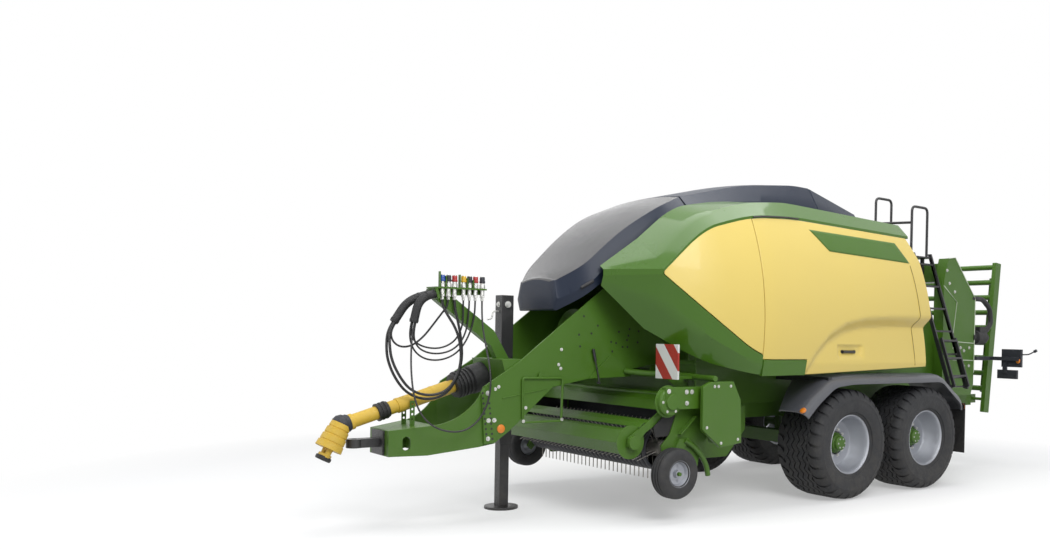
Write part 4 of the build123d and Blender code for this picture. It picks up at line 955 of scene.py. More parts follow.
def cowls():
    """Green top bands with their lips, the nose and the creased lower edge of the front."""
    form = bmesh.new()
    bands = [
        # upper edge, first and last station
        (1, COWL_BACK, NOSE_X), (1, NOSE_X + HAIR, COWL_FRONT), (2, NOSE_X, COWL_FRONT),
        (3, SEAM_X, COWL_FRONT),
    ]
    for edge, first, last in bands:
        rows = []
        for x in steps(first, last, 60):
            start, end = shell_edge(x, edge), shell_edge(x, edge + 1)
            fold = start.lerp(end, 0.5)
            if edge == 1:
                fold = start.lerp(end, CREST_SHARE) + Vector((0, along(CREST_LIFT, x)))
            if edge == 3:
                fold = start.lerp(end, CREASE_SHARE) + Vector((along(CREASE_OUT, x), 0))
            across = folded(start, fold, end)
            if edge == 1 and x <= NOSE_X:
                across.append(end + COWL_LIP)
            rows.append([spot(x, p.x, p.y) for p in across])
        for hand in HANDS:
            sheet_grid(form, handed(rows, hand))
    faces_outward(form, away_from_middle)
    piece("cowl_skins", form, [COWL], "chassis", ["cowls"], thick=SHELL, edge=0.014,
          crease=24)


COVER_BACK_GAP, COVER_FRONT_GAP, COVER_LOW_GAP = 0.006, 0.008, 0.012


def front_covers():
    """Yellow bowed panels between the doors and the nose."""
    form = bmesh.new()
    rows = []
    for x in steps(SEAM_X + COVER_BACK_GAP, NOSE_X - COVER_FRONT_GAP, 34):
        top, low = shell_edge(x, 2), shell_edge(x, 3)
        run = (low - top).normalized()
        upper = top + run * min(SEAM_GAP, 0.2 * (low - top).length)
        lower = low - run * COVER_LOW_GAP
        rows.append([spot(x, *bowed_point(upper, lower, share)) for share in steps(0, 1, 24)])
    for hand in HANDS:
        sheet_grid(form, handed(rows, hand))
    faces_outward(form, away_from_middle)
    piece("front_cover_skins", form, [YELLOW], "chassis", ["front_covers"], thick=PANEL,
          edge=0.007)


# The arch pressed into the door, as (x, z) along its crest, and how it fades downwards
ARCH = [(1.470, 1.330), (1.395, 1.480), (1.270, 1.640), (1.080, 1.800), (0.820, 1.915), (0.500, 1.975),
        (0.100, 1.998), (-0.900, 2.010)]
ARCH_DEPTH, ARCH_EDGE = 0.115, 0.15
FADE_FROM, FADE_OVER, FADE_LEAST = 1.33, 0.55, 0.25
# The seam near the door's rear as (x, z), its rear edge as (z, x), and the recess of the grip
DOOR_SEAM = [(-0.420, 2.584), (-0.432, 2.480), (-0.443, 2.370), (-0.452, 2.260), (-0.462, 2.150),
             (-0.472, 2.060), (-0.476, 2.010), (-0.474, 1.980), (-0.468, 1.950), (-0.460, 1.920),
             (-0.452, 1.890), (-0.446, 1.860), (-0.442, 1.800), (-0.441, 1.720), (-0.442, 1.640),
             (-0.445, 1.540), (-0.450, 1.440)]
DOOR_REAR = [(1.300, -0.665), (1.480, -0.665), (1.990, -0.692), (2.640, -0.640), (3.000, -0.460)]
DOOR_REAR_FROM, DOOR_FRONT_GAP = -0.66, 0.006
GRIP_X, GRIP_Z, GRIP_DEPTH, GRIP_EDGE = (0.470, 0.900), (1.525, 1.665), 0.030, 0.03
GRIP_ENDS, GRIP_HEIGHT, GRIP_LIFT, GRIP_POST = (0.60, 0.80), 1.590, 0.012, 0.030
SEAL_FROM, SEAL_SHORT, SEAL_SHIFT = 1.35, 0.02, Vector((0.006, -0.012))
STRIPE_CORNERS = [(1.225, 2.865), (-0.245, 2.835), (-0.420, 2.610), (0.985, 2.650)]
ON_FACE = 0.003


def arch_depth(x, z):
    """How deep the door is pressed in at a place: a cove below the arch that fades downwards."""
    crest = along([(-a, b) for a, b in ARCH], -x)
    below = crest - z
    if below <= 0:
        return 0.0
    share = min(1.0, below / ARCH_EDGE)
    fade = min(1.0, max(FADE_LEAST, (z - FADE_FROM) / FADE_OVER))
    cove = ARCH_DEPTH * share * share * (3 - 2 * share) * fade
    inside = min(x - GRIP_X[0], GRIP_X[1] - x, z - GRIP_Z[0], GRIP_Z[1] - z)
    return cove + GRIP_DEPTH * min(1.0, max(0.0, inside / GRIP_EDGE))


def door_point(x, share, lift=0.0):
    """A point of the left door's outer face, lift metres above it."""
    top, low = shell_edge(x, 2), shell_edge(x, 4)
    run = (low - top).normalized()
    point = bowed_point(top + run * SEAM_GAP, low, share)
    return spot(x, point.x - arch_depth(x, point.y) + lift, point.y)


def share_at(x, z):
    """The share down the door's section at which it has a height."""
    low, high = 0.0, 1.0
    for _ in range(24):
        middle = (low + high) / 2
        if door_point(x, middle).z > z:
            low = middle
        else:
            high = middle
    return (low + high) / 2


def door_column_point(start, end, share, down):
    """A point of the door, with the columns near its rear edge leaning along that edge."""
    x = start + (end - start) * share
    if start == DOOR_BACK:
        edge = along(DOOR_REAR, door_point(max(x, DOOR_REAR_FROM), down).z)
        x = edge + (end - edge) * share
    return door_point(x, down)


def doors():
    """Yellow side doors with their pressed arch, above the green sills."""
    columns = [(DOOR_BACK, SILL_BACK, share) for share in steps(0, 1, 84)]
    columns += [(SILL_BACK, SEAM_X - DOOR_FRONT_GAP, share) for share in steps(0, 1, 20)[1:]]
    upper, lower = [], []
    for start, end, share in columns:
        x = start + (end - start) * share
        fold = share_at(x, SILL_TOP)
        upper.append([door_column_point(start, end, share, down) for down in steps(0, fold, 56)])
        if x <= SILL_BACK + HAIR:
            lower.append([door_column_point(start, end, share, down) for down in steps(fold, 1, 8)])
    for hand_name, hand in SIDES:
        form = bmesh.new()
        for rows in (upper, lower):
            sheet_grid(form, handed(rows, hand))
        faces_outward(form, away_from_middle)
        piece(f"door_skin_{hand_name}", form, [YELLOW], f"side_door_{hand_name}",
              [f"door_{hand_name}"], thick=PANEL, edge=0.008, crease=40)


def door_fittings():
    """Grips in the doors' recesses, dark seals along their front top edges, and the rear seams."""
    for hand_name, hand in SIDES:
        form = bmesh.new()
        ends = [door_point(x, share_at(x, GRIP_HEIGHT), GRIP_LIFT) for x in GRIP_ENDS]
        for point in ends:
            point.y *= hand
        rod(form, ends[0], ends[1], 0.016, 12)
        for point in ends:
            rod(form, point, point - Vector((0, hand * GRIP_POST, 0)), 0.019, 12)
        piece(f"door_grip_{hand_name}", form, [BLACK], f"side_door_{hand_name}")
        form = bmesh.new()
        line = []
        for x in steps(SEAL_FROM, SEAM_X - SEAL_SHORT, 14):
            y, z = shell_edge(x, 2) + SEAL_SHIFT
            line.append(spot(x, hand * y, z))
        bent_tube(form, line, 0.008, 8)
        piece(f"door_seal_{hand_name}", form, [BLACK], f"side_door_{hand_name}")
        form = bmesh.new()
        seam = [door_point(x, share_at(x, z), ON_FACE) for x, z in DOOR_SEAM]
        bent_tube(form, handed([seam], hand)[0], 0.004, 6)
        piece(f"door_seam_{hand_name}", form, [SEAM_SHADE], f"side_door_{hand_name}")


def door_stripes():
    """A plain green field along the upper rear of each door."""
    front_top, rear_top, rear_low, front_low = [Vector(corner) for corner in STRIPE_CORNERS]
    rows = []
    for back in steps(0, 1, 40):
        top, low = front_top.lerp(rear_top, back), front_low.lerp(rear_low, back)
        places = [top.lerp(low, down) for down in steps(0, 1, 10)]
        rows.append([door_point(x, share_at(x, z), ON_FACE) for x, z in places])
    for hand_name, hand in SIDES:
        form = bmesh.new()
        sheet_grid(form, handed(rows, hand))
        faces_outward(form, away_from_middle)
        piece(f"door_stripe_{hand_name}", form, [GREEN], f"side_door_{hand_name}",
              thick=0.002)


# Hood and roof
HALF_POINTS, CROWN_STEPS, UNDER_NOSE = 5, 8, 8
NOSE_RINGS = [
    # distance ahead of the last section, share of its size
    (0.018, 0.97), (0.030, 0.90), (0.036, 0.78),
]
HOOD_GRIP = [(3.600, 0.5365, 2.165), (3.490, 0.5785, 2.236)]
ROOF_AXIS_Z = 2.2


def hump_sheet(form, rows, count, crown, nose=False):
    """A shell over the middle line through rows of foot, waist and top."""
    sections = []
    for x in steps(rows[0][0], rows[-1][0], count):
        foot, waist, top = [eased(rows, x, column) for column in (1, 2, 3)]
        half = [foot, foot.lerp(waist, 0.5), waist, waist.lerp(top, 0.5), top]
        section = [(p.x, p.y) for p in half]
        for share in steps(0, 1, CROWN_STEPS)[1:-1]:
            section.append((top.x * (1 - 2 * share), top.y + crown * 4 * share * (1 - share)))
        section += [(-p.x, p.y) for p in reversed(half)]
        sections.append([spot(x, y, z) for y, z in section])
    if nose:
        last = sections[-1]
        middle = sum(last, Vector()) / len(last)
        for ahead, shrink in NOSE_RINGS:
            sections.append([middle + (p - middle) * shrink + Vector((ahead, 0, 0)) for p in last])
    grid = sheet_grid(form, sections)
    for lower, upper in zip(grid, grid[1:]):
        for i in range(HALF_POINTS - 1, len(lower) - HALF_POINTS):
            form.faces.get((lower[i], lower[i + 1], upper[i + 1], upper[i])).material_index = 1
    if nose:
        form.faces.new(grid[-1])
        for lower, upper in zip(grid[-UNDER_NOSE - 1:], grid[-UNDER_NOSE:]):
            form.faces.new((lower[0], lower[-1], upper[-1], upper[0]))


def away_from_axis(centre):
    """Outwards from a line along the roof."""
    return Vector((0.25, centre.y, max(centre.z - ROOF_AXIS_Z, 0.05)))


def hood_and_roof():
    """Grey hood with a rounded nose and its grips, and the roof in two panels."""
    form = bmesh.new()
    for hand in HANDS:
        low, high = [spot(x, hand * y, z) for x, y, z in HOOD_GRIP]
        rod(form, low, high, 0.016, 10)
    piece("hood_grips", form, [BLACK], "front_hood")
    form = bmesh.new()
    hump_sheet(form, HOOD_ROWS, 36, 0.035, nose=True)
    faces_outward(form, away_from_axis)
    piece("hood_skin", form, [GREY, SMOKED], "front_hood", ["hood"], thick=SHELL, edge=0.022,
          crease=50)
    form = bmesh.new()
    hump_sheet(form, ROOF_ROWS, 30, 0.030)
    hump_sheet(form, TAIL_ROWS, 12, 0.026)
    faces_outward(form, away_from_axis)
    piece("roof_skins", form, [GREY, GREY], "chassis", ["roof_panels"], thick=SHELL,
          edge=0.014, crease=50)


# Drawbar and frame plates. Places on a plate are (x, z)
PLATE_FACE, FLANGE_FACE, FLANGE_BACK = 0.450, 0.458, 0.425
PLATE_HOLES = [
    (3.502, 1.897), (3.336, 1.810), (3.555, 1.719), (3.410, 1.733), (3.540, 1.606), (3.079, 1.754),
    (2.947, 1.783), (2.960, 1.718), (2.976, 1.673), (2.831, 1.764), (2.841, 1.652), (3.172, 1.653),
    (3.111, 1.642), (3.031, 1.605), (2.969, 1.604), (3.156, 1.560),
]
PLATE_BOLTS = [
    (3.753, 1.575), (3.757, 1.396), (3.781, 1.433), (3.978, 1.329), (4.133, 1.036), (3.151, 1.492),
    (3.228, 1.366), (3.019, 1.401), (4.420, 1.235), (4.455, 1.215),
]
FLANGE = [(4.440, 0.735), (4.560, 0.724), (4.590, 1.180), (4.559, 1.232), (4.470, 1.232)]
FLANGE_BOLTS = [(4.535, 1.182), (4.522, 0.935), (4.464, 0.935), (4.524, 0.772)]
FLANGE_HOLES, FLANGE_COLUMNS = 10, (0, 0.058)
FLANGE_FIRST, FLANGE_PITCH = (4.478, 0.768), (0.0055, 0.046)
HOLE_R, HOLE_LIFT = 0.011, 0.001
GATE = [(4.170, 0.900), (4.178, 1.311), (3.741, 1.305), (3.750, 0.900)]
GATE_BOLTS = [(4.170, 0.915), (3.750, 0.915)]
GATE_Y, GATE_R, GATE_BEND = 0.462, 0.012, 0.03
STRAP = [(3.430, 1.296), (3.410, 1.330), (3.196, 1.515), (3.160, 1.515), (2.915, 1.345), (2.931, 1.310)]
LUG = [(3.98, 1.30), (4.01, 1.31), (4.01, 1.345), (3.995, 1.36), (3.975, 1.355), (3.965, 1.335)]
SUNK, STRAP_THICK, LUG_THICK = 0.005, 0.012, 0.006
LINK = [(4.380, 1.130), (3.905, 1.205)]
LEVER = [(3.320, 1.254), (3.374, 1.470), (3.401, 1.582)]
LEVER_Y, LEVER_FOOT = 0.475, 0.030
REFLECTOR_X, REFLECTOR_Z = 4.389, 0.854
REFLECTOR = [(0, 0.012), (0.030, 0.010), (0.038, 0.006), (0.040, 0.0)]


def plate_fittings():
    """Holes, bolts, flanges, gates, brackets, levers and reflectors on both frame plates."""
    holes = [(x, PLATE_FACE, z) for x, z in PLATE_HOLES]
    for row in range(FLANGE_HOLES):
        for column in FLANGE_COLUMNS:
            x = FLANGE_FIRST[0] + column + FLANGE_PITCH[0] * row
            holes.append((x, FLANGE_FACE, FLANGE_FIRST[1] + FLANGE_PITCH[1] * row))
    bolts = [
        # places, face, size
        (PLATE_BOLTS, PLATE_FACE, 0.011), (FLANGE_BOLTS, FLANGE_FACE, 0.014),
        (GATE_BOLTS, GATE_Y + GATE_R, 0.011),
    ]
    for hand_name, hand in SIDES:
        out = Vector((0, hand, 0))
        form = bmesh.new()
        for x, face, z in holes:
            rod(form, spot(x, hand * face, z), spot(x, hand * (face + HOLE_LIFT), z), HOLE_R, 16)
        piece(f"plate_holes_{hand_name}", form, [SOFT_RUBBER], "chassis")
        form = bmesh.new()
        for places, face, size in bolts:
            for x, z in places:
                bolt(form, spot(x, hand * face, z), out, size)
        piece(f"plate_bolts_{hand_name}", form, [ZINC], "chassis")
        form = bmesh.new()
        slab(form, FLANGE, FLANGE_BACK, FLANGE_FACE, hand)
        slab(form, STRAP, PLATE_FACE - SUNK, PLATE_FACE + STRAP_THICK, hand)
        path = on_side(GATE, hand * GATE_Y)
        bent_tube(form, rounded(path, GATE_BEND), GATE_R, 12)
        rod(form, path[0], path[-1], GATE_R, 12)
        slab(form, LUG, PLATE_FACE - SUNK, GATE_Y + LUG_THICK, hand)
        rod(form, *on_side(LINK, hand * PLATE_FACE), 0.007, 8)
        piece(f"plate_brackets_{hand_name}", form, [GREEN], "chassis", edge=0.003)
        form = bmesh.new()
        foot, knee, top = on_side(LEVER, hand * LEVER_Y)
        rod(form, foot, top, 0.007, 10)
        rod(form, knee, top, 0.014, 12)
        rod(form, foot, foot - out * LEVER_FOOT, 0.012, 12)
        piece(f"plate_lever_{hand_name}", form, [BLACK], "chassis")
        form = bmesh.new()
        turned(form, REFLECTOR, upright(spot(REFLECTOR_X, hand * PLATE_FACE, REFLECTOR_Z), out), 28)
        piece(f"plate_reflector_{hand_name}", form, [ORANGE], "chassis")


# Drive shaft. Turned forms are (radius, distance from the joint)
JOINT, YOKE_WAY = spot(5.690, 0, 0.905), Vector((0.471, 0, -0.882))
SHAFT_WAY = Vector((-0.957, 0, 0.2905))
CONE = [
    (0.060, -0.036), (0.084, -0.026), (0.090, 0.030), (0.086, 0.034), (0.086, 0.040), (0.096, 0.044),
    (0.099, 0.092), (0.095, 0.096), (0.095, 0.102), (0.104, 0.106), (0.107, 0.154), (0.103, 0.158),
    (0.103, 0.164), (0.112, 0.168), (0.117, 0.222), (0.110, 0.222), (0.104, 0.180),
]
TUBE_END = [(0.060, 0.075), (0.069, 0.078), (0.070, 0.108), (0.060, 0.112)]
TUBE_RING = [(0.060, 0), (0.0685, 0.003), (0.0685, 0.022), (0.060, 0.026)]
TUBE_RING_PLACES = (0.520, 0.860)
JOINT_BOOT = [(0.0, -0.088), (0.044, -0.082), (0.074, -0.056), (0.087, -0.020), (0.080, 0.010)]
TUBE_BOOT = [(0.050, 0.010), (0.080, 0.020), (0.078, 0.060), (0.068, 0.078), (0.060, 0.080)]
YOKE_RING = [(0.030, 0.290), (0.064, 0.290), (0.068, 0.297), (0.068, 0.316), (0.062, 0.325), (0.030, 0.325)]
YOKE_ARM = [(0.050, 0.150), (0.054, 0.235), (0.046, 0.292)]
YOKE_BASE = [(0.026, 0.262), (0.056, 0.268), (0.058, 0.294), (0.026, 0.296)]
YOKE_CORE, YOKE_CORE_R, YOKE_ARM_R = (0.150, 0.240), 0.024, 0.025


def shaft_fittings():
    """Ribbed front cone, dark boot over the joint, and the yoke with its ring."""
    stand = upright(JOINT, YOKE_WAY)
    tube = upright(JOINT, SHAFT_WAY)
    form = bmesh.new()
    turned(form, CONE, stand, 40)
    turned(form, TUBE_END, tube, 36)
    for place in TUBE_RING_PLACES:
        turned(form, [(radius, place + offset) for radius, offset in TUBE_RING], tube, 36)
    piece("shaft_cone", form, [GUARD], "chassis", crease=24)
    form = bmesh.new()
    turned(form, JOINT_BOOT, stand, 36)
    turned(form, TUBE_BOOT, tube, 36)
    piece("shaft_boot", form, [CASE], "chassis")
    form = bmesh.new()
    turned(form, YOKE_RING, stand, 40, closed=True)
    piece("yoke_ring", form, [SOFT_RUBBER], "chassis", ["pto_yoke"])
    form = bmesh.new()
    for side in HANDS:
        bent_tube(form, [stand @ Vector((side * y, 0, z)) for y, z in YOKE_ARM], YOKE_ARM_R, 14)
    turned(form, YOKE_BASE, stand, 32)
    rod(form, *[stand @ Vector((0, 0, z)) for z in YOKE_CORE], YOKE_CORE_R, 16)
    piece("yoke_arms", form, [GUARD], "chassis", ["pto_yoke"])


# Pick-up drive. Places on its faces are (x, z)
COVER_OUTLINE = [(2.690, 1.300), (2.400, 1.300), (2.300, 1.120), (2.280, 0.700), (2.560, 0.672),
                 (2.790, 0.850), (2.790, 1.255)]
COVER_INSIDE = [(2.580, 1.260), (2.400, 1.260), (2.330, 1.100), (2.320, 0.720), (2.560, 0.700),
                (2.600, 0.780)]
COVER_BOLTS = [(2.650, 1.255), (2.600, 1.255), (2.440, 1.255), (2.335, 0.740), (2.555, 0.715),
               (2.740, 0.870)]
COVER_FACE, COVER_BACK, COVER_ROOT = 1.400, 1.352, 1.230
HOUSING = [(2.560, 1.045), (2.600, 1.250), (3.170, 1.250), (3.170, 1.130), (3.010, 1.045)]
HOUSING_BOLTS = [(2.860, 1.205), (2.925, 1.205), (3.140, 1.215), (2.920, 1.100)]
HOUSING_BACK, HOUSING_FACE = 1.240, 1.315
DRUM_PLACE = (3.095, 1.238, 1.115)
DRUM = [(0, 0), (0.150, 0), (0.150, 0.012), (0.134, 0.014), (0.132, 0.050), (0.118, 0.064), (0.076, 0.070),
        (0.072, 0.094), (0, 0.096)]
DRUM_BOLTS = (0.100, 0.066, 6, 0.009)
PICKUP_TUBE = [(2.860, 0.740), (2.760, 0.690), (2.649, 0.595), (2.574, 0.482), (2.553, 0.385)]
PICKUP_TUBE_Y, PICKUP_TUBE_R, PICKUP_TUBE_BEND = 1.222, 0.026, 0.05
STRIP, STRIP_Y, STRIP_THICK, STRIP_WIDE = [(2.928, 0.801), (2.739, 0.964)], 1.232, 0.014, 0.046
STRIP_HOLES, STRIP_FIRST, STRIP_PITCH, STRIP_HOLE_R, STRIP_FACE = 6, 0.10, 0.16, 0.012, 0.0072


def drive_side():
    """Shallow covers over the pick-up drive, the drum housing before them, and the tubes and strip below."""
    for hand_name, hand in SIDES:
        out = Vector((0, hand, 0))
        form = bmesh.new()
        slab(form, COVER_OUTLINE, COVER_BACK, COVER_FACE, hand)
        slab(form, COVER_INSIDE, COVER_ROOT, COVER_BACK, hand)
        piece(f"drive_cover_{hand_name}", form, [GREEN], "chassis", ["drive_covers"],
              edge=0.010)
        form = bmesh.new()
        slab(form, HOUSING, HOUSING_BACK, HOUSING_FACE, hand)
        drum = upright(mirrored(DRUM_PLACE, hand), out)
        turned(form, DRUM, drum, 48)
        piece(f"drum_housing_{hand_name}", form, [GREEN], "chassis", edge=0.004)
        form = bmesh.new()
        for place in on_side(COVER_BOLTS, hand * COVER_FACE):
            bolt(form, place, out, 0.010)
        for place in on_side(HOUSING_BOLTS, hand * HOUSING_FACE):
            bolt(form, place, out, 0.015)
        bolt_circle(form, drum, out, *DRUM_BOLTS)
        piece(f"drive_bolts_{hand_name}", form, [ZINC], "chassis")
        form = bmesh.new()
        path = on_side(PICKUP_TUBE, hand * PICKUP_TUBE_Y)
        bent_tube(form, rounded(path, PICKUP_TUBE_BEND), PICKUP_TUBE_R, 14)
        start, end = on_side(STRIP, hand * STRIP_Y)
        turn = (end - start).to_track_quat("X", "Y").to_matrix().to_4x4()
        block(form, (start + end) / 2, ((end - start).length, STRIP_THICK, STRIP_WIDE), turn)
        piece(f"pickup_tubes_{hand_name}", form, [GREEN], "pickup", edge=0.003)
        form = bmesh.new()
        for k in range(STRIP_HOLES):
            hole = start.lerp(end, STRIP_FIRST + STRIP_PITCH * k) + out * STRIP_FACE
            rod(form, hole, hole + out * HOLE_LIFT, STRIP_HOLE_R, 14)
        piece(f"pickup_strip_holes_{hand_name}", form, [SOFT_RUBBER], "pickup")


# Fenders
FENDER_PATH = [(1.462, 0.965), (1.300, 1.110), (1.020, 1.295), (0.700, 1.325), (-0.930, 1.325),
               (-1.385, 1.010), (-1.385, 0.900)]
FENDER_BEND = 0.105
FENDER_SECTION = [
    # distance from the middle, height over the path
    (0.850, 0.0), (1.120, 0.004), (1.150, 0.016), (1.340, 0.016), (1.400, 0.006), (1.440, -0.014),
    (1.466, -0.046), (1.475, -0.082), (1.462, -0.084), (1.452, -0.054), (1.430, -0.030), (1.395, -0.012),
    (1.340, -0.002), (1.150, -0.002), (1.120, -0.012), (0.850, -0.014),
]
FENDER_INNER, FENDER_WIDE_TO, FENDER_TAPER = 0.850, 0.950, 0.50
FENDER_ARMS, FENDER_ARM_Y, FENDER_ARM_Z = (1.000, 0.0, -0.780), 1.015, 1.292
FENDER_ARM = (0.060, 0.770, 0.054)
FENDER_LENS = [(0, 0.014), (0.026, 0.011), (0.034, 0.005), (0.036, -0.010)]
FENDER_LENS_Y = 1.430
FENDER_LENS_PLACES = [
    # x, z, direction
    (1.452, 0.990, Vector((0.7, 0, 0.7))), (-1.395, 0.935, Vector((-1, 0, 0))),
]


def fenders():
    """Moulded fenders with a raised band and a rolled outer lip, on their arms, with reflectors."""
    line = rounded([Vector((x, 0, z)) for x, z in FENDER_PATH], FENDER_BEND, 8)
    form = bmesh.new()
    arms = bmesh.new()
    lenses = bmesh.new()
    for hand in HANDS:
        rings = []
        for i, point in enumerate(line):
            way = line[min(i + 1, len(line) - 1)] - line[max(i - 1, 0)]
            over = Vector((way.z, 0, -way.x)).normalized()
            inner = FENDER_INNER + max(0.0, point.x - FENDER_WIDE_TO) * FENDER_TAPER
            rings.append([spot(*(point + over * lift)) + Vector((0, hand * max(out, inner), 0))
                          for out, lift in FENDER_SECTION])
        grid = sheet_grid(form, [ring + ring[:1] for ring in rings])
        form.faces.new(grid[0][:-1])
        form.faces.new(grid[-1][:-1])
        for x in FENDER_ARMS:
            block(arms, spot(x, hand * FENDER_ARM_Y, FENDER_ARM_Z), FENDER_ARM)
        for x, z, way in FENDER_LENS_PLACES:
            turned(lenses, FENDER_LENS, upright(spot(x, hand * FENDER_LENS_Y, z), way), 24)
    # The fenders' colour is their own blue-grey, lightened by a painted reflection of the sky
    piece("fender_skins", form, [FENDER_AND_PAINTED_REFLECTION], "chassis", ["fenders"], crease=40)
    piece("fender_arms", arms, [BLACK], "chassis", ["fenders"], edge=0.004)
    piece("fender_reflectors", lenses, [ORANGE], "chassis")


# Rear. Places on the portal are (x, z)
# Lines of painted highlight along the portal's edges, drawn as pale tubes
HIGHLIGHT_LINES = [
    [(-1.900, 2.440), (-2.194, 2.239), (-2.114, 1.736), (-2.130, 1.620)],
    [(-1.990, 2.800), (-2.140, 2.815), (-2.353, 2.585), (-2.620, 2.300), (-2.620, 1.306)],
    [(-2.110, 1.720), (-2.600, 1.700)],
    [(-2.120, 1.480), (-2.600, 1.470)],
]
HIGHLIGHT_Y, PORTAL_FACE = 0.791, 0.790
PORTAL_BOLTS = [(-2.020, 2.475), (-2.141, 2.370), (-1.960, 2.640), (-2.30, 1.640), (-2.38, 1.600),
                (-2.30, 1.540), (-2.38, 1.400), (-2.30, 1.350), (-2.30, 1.420), (-2.50, 1.640),
                (-2.50, 1.400)]
MOTOR_PLACE, VALVE_PLACE, VALVE = (-2.600, 0.735, 1.780), (-2.820, 0.745, 1.870), (0.150, 0.100, 0.110)
MOTOR = [
    # radius, distance backwards
    (0, 0), (0.070, 0), (0.070, 0.090), (0.094, 0.096), (0.094, 0.300), (0.080, 0.320), (0.050, 0.325),
    (0.050, 0.390), (0, 0.392),
]
PIPE = [(-2.560, 2.300), (-2.840, 2.300), (-3.020, 2.180), (-3.060, 1.980), (-2.930, 1.860), (-2.850, 1.850)]
PIPE_Y, PIPE_R, PIPE_BEND = 0.762, 0.034, 0.06
MARKER_X, MARKER_BEND = -3.060, 0.03
MARKER_ARM = [
    # y, z
    (1.225, 1.560), (1.330, 1.565), (1.420, 1.611),
]
MARKER_LAMP = [(1.405, 1.604), (1.440, 1.622)]
LAMP_BACK_Y, LAMP_BACK_Z, LAMP_BACK = 1.090, 1.510, (0.046, 0.270, 0.215)
SIDE_LENS_PLACE = (-3.037, 1.190, 1.475)
SIDE_LENS = [(0, 0.012), (0.026, 0.009), (0.034, 0.0)]


def rear_fittings():
    """Pale tubes of painted highlight along the portal's edges, bolts on the portal, the motor with its
    pipe, marker arms and side lenses.
    """
    for hand_name, hand in SIDES:
        out = Vector((0, hand, 0))
        form = bmesh.new()
        # Pale tubes along the portal's edges: painted highlight
        for line in HIGHLIGHT_LINES:
            bent_tube(form, on_side(line, hand * HIGHLIGHT_Y), 0.006, 8)
        piece(f"portal_edge_highlight_{hand_name}", form, [PAINTED_EDGE_HIGHLIGHT], "chassis")
        form = bmesh.new()
        for place in on_side(PORTAL_BOLTS, hand * PORTAL_FACE):
            bolt(form, place, out, 0.014)
        piece(f"portal_bolts_{hand_name}", form, [ZINC], "chassis")
        form = bmesh.new()
        turned(form, MOTOR, upright(mirrored(MOTOR_PLACE, hand), Vector((-1, 0, 0))), 28)
        block(form, mirrored(VALVE_PLACE, hand), VALVE)
        bent_tube(form, rounded(on_side(PIPE, hand * PIPE_Y), PIPE_BEND), PIPE_R, 14)
        piece(f"rear_motor_{hand_name}", form, [SOFT_RUBBER], "chassis", edge=0.004)
        form = bmesh.new()
        arm = [spot(MARKER_X, hand * y, z) for y, z in MARKER_ARM]
        bent_tube(form, rounded(arm, MARKER_BEND), 0.009, 10)
        rod(form, *[spot(MARKER_X, hand * y, z) for y, z in MARKER_LAMP], 0.020, 14)
        block(form, spot(MARKER_X, hand * LAMP_BACK_Y, LAMP_BACK_Z), LAMP_BACK)
        piece(f"marker_arm_{hand_name}", form, [CASE], "chassis", edge=0.004)
        form = bmesh.new()
        turned(form, SIDE_LENS, upright(mirrored(SIDE_LENS_PLACE, hand), Vector((1, 0, 0))), 24)
        piece(f"side_lens_{hand_name}", form, [ORANGE], "chassis")


CHUTE_HINGE, CHUTE_LEAN = (-3.080, 0.930), math.radians(6.4)
CHUTE_RAIL, CHUTE_RAIL_Y = (0.075, 0.050, 1.600), 0.600
CHUTE_RAIL_MIDDLE, CHUTE_RAIL_BEHIND = 0.900, 0.068


def chute_rails():
    """Inner rails behind the rollers of the chute."""
    turn = Matrix.Rotation(-CHUTE_LEAN, 4, "Y")
    middle = turn @ Vector((-CHUTE_RAIL_BEHIND, 0, CHUTE_RAIL_MIDDLE))
    form = bmesh.new()
    for hand in HANDS:
        place = spot(CHUTE_HINGE[0], hand * CHUTE_RAIL_Y, CHUTE_HINGE[1]) + middle
        block(form, place, CHUTE_RAIL, turn)
    piece("chute_rails", form, [GREEN], "bale_chute", edge=0.004)


PLATFORM_Z, PLATFORM_MIDDLE, PLATFORM = 2.800, (-1.650, 0.298), (0.400, 0.596, 0.020)
POST_X, POST_Y, POST_Z, POST = (-1.500, -1.800), (0.060, 0.520), 2.640, (0.040, 0.040, 0.320)
HOOPS = [
    # distance from the middle, rear leg x, front leg x, top
    (0.030, -1.770, -1.440, 3.600), (0.560, -1.830, -1.500, 3.450),
]
RAIL_R, RAIL_BEND = 0.017, 0.07
RAIL_BAR = [(-1.440, 0.030, 3.260), (-1.500, 0.560, 3.240)]


def rails():
    """Platform on posts, with hoops of bent tube and a bar between them."""
    form = bmesh.new()
    block(form, spot(*PLATFORM_MIDDLE, PLATFORM_Z), PLATFORM)
    for x in POST_X:
        for y in POST_Y:
            block(form, spot(x, y, POST_Z), POST)
    for y, rear, front, top in HOOPS:
        path = on_side([(rear, PLATFORM_Z), (rear, top), (front, top), (front, PLATFORM_Z)], y)
        bent_tube(form, rounded(path, RAIL_BEND), RAIL_R, 14)
    rod(form, *[spot(*end) for end in RAIL_BAR], RAIL_R, 12)
    piece("rail_hoops", form, [BLACK], "chassis", ["railing"], edge=0.003)


JACK_Y, JACK_BOLT_Z = -0.200, 2.000
JACK_SIDE_BOLT, JACK_FRONT_BOLT_X = (4.000, -0.135), 4.065
CRANK = [(4.060, 1.930), (4.130, 1.930), (4.140, 1.860), (4.190, 1.850)]
CRANK_R, CRANK_BEND = 0.009, 0.02


def jack_fittings():
    """Bolts and crank on the parking jack's tube."""
    form = bmesh.new()
    bolt(form, spot(*JACK_SIDE_BOLT, JACK_BOLT_Z), Vector((0, 1, 0)), 0.022)
    bolt(form, spot(JACK_FRONT_BOLT_X, JACK_Y, JACK_BOLT_Z), Vector((1, 0, 0)), 0.018)
    bent_tube(form, rounded(on_side(CRANK, JACK_Y), CRANK_BEND), CRANK_R, 10)
    piece("jack_crank", form, [ZINC], "chassis")


